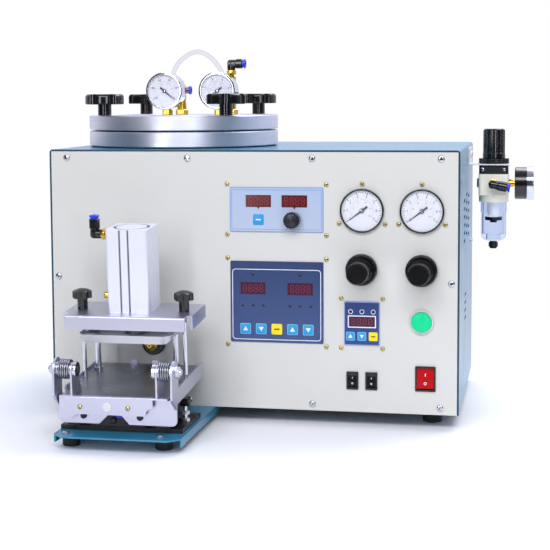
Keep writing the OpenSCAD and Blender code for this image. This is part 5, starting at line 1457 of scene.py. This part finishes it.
@dataclass
class ControlPanel:
    """Display panel, controller, timer, regulators, button and switches."""

    knob_h: float = 13.3
    timer_left: float = 350.0
    power: Point = (460.7, 42.7)
    rockers: Point = (374.2, 396.8)
    rocker_z: float = 38.0
    rocker_span: float = 15.0
    power_span: float = 23.5
    throw: float = math.radians(9)
    sink: float = 2.5
    # Where the bezels lie: ring nuts above, the button between, switches below, and the inlet behind
    nuts_z: float = 145.0
    button_z: Point = (90.0, 130.0)
    switches_z: float = 70.0
    front_y: float = 100.0
    rear_y: float = 200.0

    def build(self) -> None:
        """Dresses every instrument of the panel."""
        coat(BLUE_FILM, "display_panel")
        self.display_prints()
        self.controller_prints()
        self.timer_prints()
        self.controls()

    def display_prints(self) -> None:
        """Makes the upper panel's windows, lines, key and knob."""
        film = PrintedFilm("display", DISPLAY, "display_blue")
        film.line("outer_line", (113, 53.4, 1.5, 0, 0), 0.7, LINE_BLUE)
        film.line("inner_line", (109, 47.6, 0.6, 0, 0), 0.5, LINE_BLUE)
        for i, x in enumerate((-21.8, 21.8)):
            film.window(f"window_{i + 1}", (31, 14.6), (x, 10.2), RED_WINDOW, RED_DIGIT)
            tab = [(x + 1.5, 2.95), (x - 1.5, 2.95), (x, 0.2)]
            film.add(f"tab_{i + 1}", Sketch().prism(tab, film.face - 0.05, film.face + 0.05), RED_WINDOW)
        film.key("key", (-21.8, -12), 13, KeyMark.PLAIN)
        refined("display_knob_grip", "display_knob", GLOSS_BLACK)
        top = film.face + self.knob_h
        cap = [(0, top - 0.3), (7.6, top - 0.3), (7.6, top + 0.05), (7.0, top + 0.25), (0, top + 0.25)]
        Sketch().lathe(cap).piece(
            "display_knob_cap", "display_knob", "steel", DARK_SPUN, on_panel(*KNOB_AXIS))

    def controller_prints(self) -> None:
        """Makes the controller's windows, lines, lamps and keys."""
        refined("controller_film", "controller_panels", NAVY_FILM,
                rule=lambda p: p.x < self.timer_left)
        film = PrintedFilm("controller", CONTROLLER, "controller_navy")
        film.line("line", (108, 85.5, 4, -0.3, -3.2), 0.8, WHITE_INK)
        for i, x in enumerate((-29.0, 28.5)):
            film.window(f"window_{i + 1}", (30.5, 14.4), (x, 16.2), DARK_WINDOW, DARK_DIGIT)
        spots = [(s * 28.8 + i * 12.8, -4.4) for s in (-1, 1) for i in (-1, 0, 1)]
        film.lamps(spots + [(-28.8, 32.8), (28.8, 32.8)], 3.4)
        for i, mark in enumerate((KeyMark.UP, KeyMark.DOWN, KeyMark.SET, KeyMark.UP, KeyMark.DOWN)):
            film.key(f"key_{i + 1}", ((i - 2) * 19.1, -32.7), 13, mark)

    def timer_prints(self) -> None:
        """Makes the timer's window, lines, lamps and keys."""
        refined("timer_film", "controller_panels", TIMER_FILM,
                rule=lambda p: p.x > self.timer_left)
        film = PrintedFilm("timer", TIMER, "controller_navy")
        film.line("edge_line", (42.4, 52.2, 1.5, 0, 0), 1.0, LILAC_INK)
        film.line("window_line", (33.6, 14.6, 0.8, 0, 2.3), 1.2, WHITE_INK)
        film.window("window", (31, 12), (0, 2.3), DARK_WINDOW, DARK_DIGIT)
        spots = [(i * 13.5, 14.2) for i in (-1, 0, 1)]
        film.lamps(spots, 4)
        for i, spot in enumerate(spots):
            film.line(f"lamp_ring_{i + 1}", (5.6, 5.6, 2.79, *spot), 0.7, WHITE_INK)
        for i, mark in enumerate((KeyMark.UP, KeyMark.DOWN, KeyMark.SET)):
            film.key(f"key_{i + 1}", ((i - 1) * 13.5, -15.2), 10.5, mark)

    def controls(self) -> None:
        """Makes the regulator knobs, the button, the switches with their marks, and the mains inlet."""
        black, bezels = "black_plastic", "control_bezels"
        for name in ("forward_regulator_knob", "clamp_regulator_knob"):
            refined(name + "_moulding", name, GLOSS_BLACK, 0.25)
        low, high = self.button_z
        refined("regulator_ring_nuts", bezels, GLOSS_BLACK, 0.3,
                lambda p: p.z > self.nuts_z and p.y < self.front_y)
        refined("button_bezel", bezels, PALE_PLASTIC, 0.25,
                lambda p: low < p.z < high and p.y < self.front_y)
        refined("button_lens", "green_button", GREEN_LENS, 0.3)
        refined("switch_frames", bezels, MATT_BLACK, 0.2,
                lambda p: p.z < self.switches_z and p.y < self.front_y)
        refined("mains_inlet", bezels, MATT_BLACK, 0.3, lambda p: p.y > self.rear_y)
        for name, x in zip(("forward_rocker", "clamp_rocker"), self.rockers):
            refined(name + "_button", name, GLOSS_BLACK, 0.3)
            self.marks(name, x, self.rocker_z, self.rocker_span)
        refined("power_rocker_button", "power_rocker", RED_ROCKER, 0.3)
        self.marks("power_rocker", *self.power, self.power_span)

    def marks(self, name: str, x: float, z: float, span: float) -> None:
        """Prints the two plain marks on a rocker.

        Args:
            name: The rocker's body.
            x: Place of the switch.
            z: Height of the switch.
            span: Length of the rocker.
        """
        half, tall, r = span / 2, span * 0.14, span * 0.075
        tip = shift(0, 0, -self.sink) @ Matrix.Rotation(-self.throw, 4, "X") @ shift(0, 0, self.sink)
        place = on_panel(x, z) @ tip @ shift(0, 0, 1.2)
        slope = math.atan2(0.9, half)
        bar = Sketch().prism(round_rect(tall * 0.3, tall, tall * 0.12, 0, half * 0.36), -0.05, 0.06)
        rings = [arc(0, -half * 0.5, radius, 0, 345, 23) for radius in (r, r * 0.6)]
        ring = Sketch().frame(*rings, -0.05, 0.06)
        for part, mark, turn in (("_mark_on", bar, slope), ("_mark_off", ring, -slope)):
            mark.piece(name + part, name, "black_plastic", WHITE_INK, place @ Matrix.Rotation(turn, 4, "X"))


# Tank and lid


@dataclass
class PushElbow:
    """A push-in elbow: brass nut, black bent body and coloured release collar."""

    diameter: float = 12.5
    rise: float = 18.0
    collar_h: float = 4.0
    bore: float = 6.0
    arm: float = 8.0

    def build(self, name: str, body: str, node: str, place: Matrix, foot: float) -> None:
        """Makes the elbow with its foot along X and its mouth along Z.

        Args:
            name: Start of the pieces' names.
            body: The body that it moves with.
            node: The CAD node that it stands for.
            place: Where its corner goes.
            foot: Length of its foot.
        """
        r, hole, arm, rise = self.diameter / 2, self.bore / 2, self.arm, self.rise
        low, thin, seat = -r * 0.72, r - 0.9, hole + 1.8
        heel = [(0, low), (thin - 1.6, low), (thin, low + 1.6)]
        elbow = Sketch().lathe(heel + [(thin, arm - 0.4), (thin - 0.5, arm), (0, arm)], 36, TURN_Y)
        elbow.lathe(heel + [(thin, r - 0.4), (r, r + 0.8), (r, rise - 0.7), (r - 0.7, rise), (seat, rise),
                            (seat, rise - 4), (0, rise - 4)], 36)
        elbow.piece(name + "_elbow", body, "black_plastic", GLOSS_BLACK, place, node=node)
        top, lip, sleeve = rise + self.collar_h, r - 0.25, hole + 1.7
        collar = [(hole, rise - 5), (sleeve, rise - 5), (sleeve, top - 2), (lip, top - 1.8), (lip, top - 0.4),
                  (lip - 0.5, top), (hole + 0.6, top), (hole, top - 0.5), (hole, rise - 5)]
        Sketch().lathe(collar, 36).piece(
            name + "_collar", body, "black_plastic", BLUE_COLLAR, place, node=node)
        nut = Sketch().prism(polygon(6, self.diameter + 0.6), arm + 0.8, arm + 5.8)
        shank = [(0, arm - 1), (r - 1.6, arm - 1), (r - 1.6, foot - 3), (3.9, foot - 3), (3.9, foot),
                 (0, foot)]
        nut.lathe(shank, 28)
        nut.piece(name + "_nut", body, "brass", BRASS, place @ TURN_Y, 0.25, node)


@dataclass
class TankAndLid:
    """Turned flange and lid, star knobs and the fittings on the lid."""

    lid_top: float = 352.0
    tube_y: float = 156.0
    stem_y: float = 134.74
    gauge_x: Point = (113.0, 183.0)
    post_x: Point = (127.0, 194.0)
    post_top: Point = (390.0, 402.0)
    tube_x: Point = (115.0, 182.0)
    arm_z: float = 382.0
    tube_end: float = 396.0
    valve_z: float = 384.0
    stub_out: float = 5.0
    elbow_z: float = 418.0

    def build(self) -> None:
        """Dresses the tank and builds the lid's fittings."""
        refined("turned_flange", "wax_tank", TURNED_ALUMINIUM)
        refined("turned_lid", "tank_lid", TURNED_ALUMINIUM)
        coat(RUBBER, "tank_gaskets")
        coat(MICA, "heater_band")
        coat(PUMP_CAST, "vacuum_unit")
        refined("nozzle_insulator_disc", "nozzle_insulator", MATT_BLACK, 0.2)
        refined("brass_nozzle", "injection_nozzle", BRASS, 0.1)
        for i in range(1, 5):
            refined(f"star_knob_{i}", f"lid_knob_{i}", GLOSS_BLACK, 0.7)
        self.fittings()

    def fittings(self) -> None:
        """Makes the stems, posts, arms, valve stub and elbow on the lid."""
        brass = Sketch()
        for x in self.gauge_x:
            stem = shift(x, self.stem_y, self.lid_top)
            self.hexagon(brass, 14, 7, stem)
            brass.rod(5, 0, 8.6, 28, stem)
        up = self.tube_end - self.arm_z
        socket = [(0, -5), (4.2, -5), (5, -4), (5, up - 5), (4.5, up - 4.6), (4.5, up - 4), (5, up - 3.6),
                  (5, up - 0.6), (4.4, up), (3.1, up), (3.1, up - 6), (0, up - 6)]
        for x, top, arm in zip(self.post_x, self.post_top, self.tube_x):
            post, turn = shift(x, self.tube_y, self.lid_top), shift(arm, self.tube_y, self.arm_z)
            self.hexagon(brass, 17, 7, post)
            h = top - self.lid_top
            brass.lathe([(0, 0), (6, 0), (6, h * 0.42), (5.4, h * 0.45), (5.4, h * 0.55), (6, h * 0.58),
                         (6, h - 0.8), (5.2, h), (0, h)], 36, post)
            brass.rod(4, 0, x - arm, 28, turn @ TURN_Y)
            brass.lathe(socket, 32, turn)
        stub = shift(self.post_x[0] + self.stub_out, self.tube_y, self.valve_z) @ TURN_Y
        brass.rod(4.5, 0, 5.2, 28, stub)
        machine = upright(0, 0, 0)
        brass.piece("lid_brass_fittings", "lid", "brass", BRASS, machine, node="lid_fittings")
        collar = [(0, 5), (5, 5), (5.5, 5.4), (5.5, 7.5), (5, 8), (3.1, 8), (3.1, 6), (0, 6)]
        Sketch().lathe(collar, 32, stub).piece(
            "valve_stub_collar", "lid", "brass", BLUE_COLLAR, machine, node="lid_fittings")
        place = axes((0, 0, -1), REAR, at(self.post_x[1], self.tube_y, self.elbow_z))
        PushElbow(rise=15.0).build("lid_outlet", "lid", "lid_fittings", place, foot=17.0)

    def hexagon(self, sketch: Sketch, across: float, height: float, place: Matrix) -> None:
        """Draws a hexagon with chamfered corners.

        Args:
            sketch: The drawing.
            across: Width across the corners.
            height: Its height.
            place: Where it stands.
        """
        rows = ((0.46, 0.0), (0.5, 0.6), (0.5, height - 0.6), (0.46, height))
        sketch.skin([lifted(polygon(6, 2 * across * share), z, place) for share, z in rows])


# Mould clamp


@dataclass
class MouldClamp:
    """Base, slide, carriage, sprung tilting frame, air cylinder and press plate."""

    middle: float = 130.0
    pivot: Point = (-157.6, 73.2)
    lean: float = math.radians(4)
    wire: float = 2.0
    turns: float = 4.75
    coil_r: float = 10.282
    coil_start: float = 51.5
    coil_pitch: float = 2.5
    coil_steps: int = 24
    leg: float = 16.0
    cylinder_y: float = -76.0
    top_z: float = 125.0
    cylinder_w: float = 49.4
    cylinder_h: float = 96.5
    grooves: Point = (-8.0, 2.0)
    stop: Point = (194.9, -100.0)
    roller_z: float = 22.0
    stop_reach: float = 6.0
    slide_top: float = 5.05
    bracket_front: float = -152.1
    head_z: Point = (15.0, 25.0)
    ear_x: float = 43.7
    port_y: float = -149.5
    elbow_up: float = 87.5
    nipple_up: float = 16.0
    ring_down: float = 2.0
    flange_y: float = -162.3
    tray_z: float = 44.0
    plug: Point = (-9.5, -12.0)
    flange_screws: tuple[Point, ...] = ((-41.0, -12.6), (14.5, -12.6))
    # Outlines and places of the dark sheets of painted shade on the tray and press plate floors
    tray_floor: Spot = (119.0, 138.0, 1.0)
    tray_spot: Spot = (130.0, -90.0, 44.0)
    press_floor: Spot = (95.6, 46.6, 7.8)
    press_spot: Spot = (128.0, -87.5, 97.0)
    tray_bend: Spot = (130.0, -160.2, 43.7)
    top_bend: Spot = (130.0, -122.2, 127.6)

    def leaning(self, x: float, y: float, z: float) -> Matrix:
        """A place on the press frame.

        Args:
            x: Millimetres to the right, for the frame when it is level.
            y: Millimetres to the rear.
            z: Millimetres up.

        Returns:
            The place on the leaning frame.
        """
        hinge = at(0, *self.pivot)
        turn = shift(*hinge) @ Matrix.Rotation(self.lean, 4, "X") @ shift(*-hinge)
        return turn @ upright(x, y, z)

    def build(self) -> None:
        """Dresses the sheets and builds springs, fittings and small hardware."""
        refined("painted_base", "base_plate", TEAL_PAINT, 0.3)
        self.slide()
        coat(BRIGHT_STEEL, "forward_cylinder")
        refined("carriage_body", "carriage_block", BLACK_STEEL, 0.4)
        refined("carriage_sheet", "carriage_bracket", ZINC_SHEET, 0.25,
                lambda p: not self.is_head(p))
        refined("carriage_screws", "carriage_bracket", BLACK_STEEL, 0.0, self.is_head)
        refined("pivot_bolts", "pivot_hardware", BRIGHT_STEEL, 0.3)
        refined("tray_sheet", "mould_tray", ZINC_SHEET, 0.25, bend=self.tray_bend)
        refined("bright_posts", "guide_posts", BRIGHT_STEEL, 0.2)
        refined("top_sheet", "top_plate", ZINC_SHEET, 0.3, bend=self.top_bend)
        refined("cylinder_profile", "clamp_cylinder", ANODISED, 0.3)
        refined("press_dish", "press_plate", SATIN_STEEL, 0.3)
        for side in ("left", "right"):
            refined(f"post_star_{side}", f"post_knob_{side}", GLOSS_BLACK, 0.3)
        self.springs()
        self.groove_floors()
        self.cylinder_fittings()
        self.flange_details()
        self.floors_and_rings()

    def is_head(self, p: Vector) -> bool:
        """Says whether a point is on the screw heads of the carriage sheet."""
        return p.y < self.bracket_front and self.head_z[0] < p.z < self.head_z[1]

    def on_stop(self, p: Vector) -> bool:
        """Says whether a point is on the stop pillar or its roller."""
        x, y = self.stop
        return max(abs(p.x - x), abs(p.y - y)) < self.stop_reach and p.z > self.slide_top

    def slide(self) -> None:
        """Makes the slide's plate and rails, its bright stop pillar and the black roller on it."""
        refined("slide_plate", "slide_base", BLACK_STEEL, 0.3, lambda p: not self.on_stop(p))
        refined("stop_pillar", "slide_base", BRIGHT_STEEL, 0.0,
                lambda p: self.on_stop(p) and p.z < self.roller_z)
        refined("stop_roller", "slide_base", BLACK_STEEL, 0.0,
                lambda p: self.on_stop(p) and p.z >= self.roller_z)

    def springs(self) -> None:
        """Winds the two torsion springs."""
        coil, steps = [], self.coil_steps
        for i in range(int(self.turns * steps) + 1):
            a = 2 * math.pi * i / steps
            coil.append(Vector((self.coil_start + self.coil_pitch * i / steps, self.coil_r * math.cos(a),
                                self.coil_r * math.sin(a))))
        first, last = coil[0] - coil[1], coil[-1] - coil[-2]
        first.x = last.x = 0.0
        path = [coil[0] + first.normalized() * self.leg] + coil + [coil[-1] + last.normalized() * self.leg]
        centre = upright(self.middle, *self.pivot)
        for name, sign in (("right", 1), ("left", -1)):
            side = [Vector((sign * p.x, p.y, p.z)) for p in path]
            Sketch().sweep(side, self.wire / 2).piece(
                f"torsion_spring_{name}", "carriage", "steel", SPRING_WIRE, centre, node="torsion_springs")

    def groove_floors(self) -> None:
        """Paints shade on the floors of the cylinder's sensor grooves as dark strips."""
        floors = Sketch()
        low, high = 0.55 - self.cylinder_w / 2, 1.3 - self.cylinder_w / 2
        for quarter in range(4):
            turn = Matrix.Rotation(quarter * math.pi / 2, 4, "Z")
            for x in self.grooves:
                strip = [(x - 0.7, low), (x + 0.7, low), (x + 0.7, high), (x - 0.7, high)]
                floors.prism(strip, 0.4, self.cylinder_h - 0.4, turn)
        floors.piece("cylinder_groove_floors", "press_frame", "anodised", GROOVE_SHADE,
                     self.leaning(self.middle, self.cylinder_y, self.top_z))

    def cylinder_fittings(self) -> None:
        """Makes the cylinder's upper elbow and lower nipple."""
        left, node = self.middle - self.cylinder_w / 2, "cylinder_fittings"
        place = self.leaning(left - 20, self.cylinder_y, self.top_z + self.elbow_up)
        PushElbow().build("cylinder_top", "press_frame", node, place, foot=23.0)
        low = self.leaning(left - 11.5, self.cylinder_y, self.top_z + self.nipple_up) @ TURN_Y
        nipple = Sketch().lathe([(0, 0), (2.4, 0), (2.4, 0.6), (4, 0.9), (4, 2), (4, 14.5), (0, 14.5)], 28)
        nipple.prism(polygon(6, 11), 6.5, 11.5)
        nipple.piece("cylinder_low_nipple", "press_frame", "brass", BRASS, low, 0.2, node)

    def flange_details(self) -> None:
        """Sets the plug and the small screws on the tray's front flange."""
        front = self.leaning(self.middle, self.flange_y, self.tray_z) @ TURN_X
        plug = [(0, -3), (4.3, -3), (4.3, 0), (5.6, 0.05), (5.6, 0.7), (4.9, 1.2), (0, 1.5)]
        Sketch().lathe(plug, 32, shift(*self.plug)).piece(
            "flange_plug", "press_frame", "white_steel", PALE_PLASTIC, front)
        outward = (front.to_3x3() @ Vector(UP)).normalized()
        spots = [(front @ Vector((x, y, 0)), outward) for x, y in self.flange_screws]
        ScrewHeads(diameter=5.6, height=1.8, recess=0.9, seed=2).build(
            "flange_screws", "press_frame", "brass", PALE_BRASS, spots)

    def floors_and_rings(self) -> None:
        """Lays painted shade as dark sheets on the floors and a dark ring in the cylinder's top; sets the
        bolt faces and the port's collar.
        """
        # Each floor's dark sheet is painted shade, lying just above the real floor
        for name, body, slot, outline, spot in (
                ("tray_floor", "press_frame", "zinc_steel", self.tray_floor, self.tray_spot),
                ("press_floor", body_of("press_plate"), "steel", self.press_floor, self.press_spot)):
            Sketch().prism(round_rect(*outline), -0.3, 0.06).piece(
                name, body, slot, SHADE_PAINTED_SHEET, self.leaning(*spot))
        # A black ring on the cylinder's top: painted shade in the recess round its cap
        crown = self.leaning(self.middle, self.cylinder_y, self.top_z + self.cylinder_h - self.ring_down)
        Sketch().ring(outer=20.8, inner=18.2, steps=72, low=-0.1, high=1.0).piece(
            "cylinder_retaining_ring", "press_frame", "black_metal", BLACK_STEEL, crown)
        port = on_panel(self.middle, 0, self.port_y)
        Sketch().prism(round_rect(8, 5, 1.0, 2.5, 20.8), -1, 1.6).piece(
            "carriage_port_collar", "carriage", "controller_navy", BLUE_COLLAR, port, 0.2)
        for name, sign in (("right", 1), ("left", -1)):
            side = axes(REAR, (0, 0, sign), at(self.middle + sign * self.ear_x, *self.pivot))
            Sketch().ring(outer=8.2, inner=4.6, steps=36, low=-0.2, high=0.25).piece(
                f"bolt_face_{name}", "carriage", "black_metal", BLACK_STEEL, side @ Matrix.Scale(-1, 4, UP))


# Filter regulator


@dataclass
class FilterRegulator:
    """Filter and pressure regulator on the cabinet's right side."""

    middle: Point = (532.0, 200.0)
    drain_z: float = 186.95
    baffle_z: float = 218.1
    port_z: float = 262.0
    bonnet_z: float = 280.6
    half: float = 19.0
    elbow_out: float = 14.0
    bonnet_screw_x: float = 13.6
    inlet_tilt: float = math.radians(101)

    def build(self) -> None:
        """Dresses the castings and builds the fittings."""
        refined("white_bracket", "filter_bracket", WHITE_STEEL, 0.3)
        refined("cream_casting", "filter_body", CREAM, 0.5)
        refined("bonnet_moulding", "filter_bonnet", MATT_BLACK, 0.4)
        refined("filter_grip", "filter_knob", GLOSS_BLACK, 0.2)
        drain, baffle = self.drain_z, self.baffle_z
        refined("clear_bowl", "filter_bowl", BOWL, 0.0, lambda p: p.z > drain)
        refined("bowl_drain", "filter_bowl", MATT_BLACK, 0.0, lambda p: p.z < drain)
        refined("white_element", "filter_element", SINTERED, 0.3, lambda p: p.z > baffle)
        refined("black_baffle", "filter_element", MATT_BLACK, 0.3, lambda p: p.z < baffle)
        self.fittings()

    def fittings(self) -> None:
        """Makes the brass nipple, the plugs and the elbow of the ports."""
        x, y = self.middle
        h, node = self.half, "filter_fittings"
        machine = upright(x, y, self.port_z)
        nipple = [(0, h - 4), (4, h - 4), (4, h + 0.4), (5.4, h + 0.4), (5.4, h + 5.4), (4, h + 5.6),
                  (4, h + 8), (0, h + 8)]
        Sketch().lathe(nipple, 32, TURN_Y).piece(
            "gauge_nipple", "cabinet", "brass", BRASS, machine, node=node)
        plugs = Sketch()
        for turn in (TURN_Z @ TURN_Y, Matrix.Rotation(math.pi, 4, "Z") @ TURN_Y):
            plugs.rod(4, h - 4, h + 1, 24, turn)
            plugs.prism(polygon(6, 12), h, h + 2.5, turn)
        plugs.piece("port_plugs", "cabinet", "black_plastic", MATT_BLACK, machine, 0.2, node)
        corner = upright(x, y - h - self.elbow_out, self.port_z) @ TURN_Z
        place = corner @ Matrix.Rotation(self.inlet_tilt, 4, "X")
        PushElbow().build("supply_inlet", "cabinet", node, place, foot=17.0)
        out_x = self.bonnet_screw_x
        spots = [(at(x + dx, y - h + 0.5, self.bonnet_z), FRONT) for dx in (-out_x, out_x)]
        ScrewHeads(diameter=4.6, height=1.2, recess=0.8, seed=3).build(
            "bonnet_screws", "cabinet", "steel", BRIGHT_STEEL, spots)


def main() -> None:
    """Builds the studio and the machine."""
    logging.basicConfig(level=logging.INFO, format="%(message)s")
    Studio().build()
    AirTube().build()
    for assembly in (Cabinet(), GaugeSet(), ControlPanel(), TankAndLid(), MouldClamp(), FilterRegulator()):
        LOG.info("building %s", type(assembly).__name__)
        assembly.build()


if __name__ == "__main__":
    main()
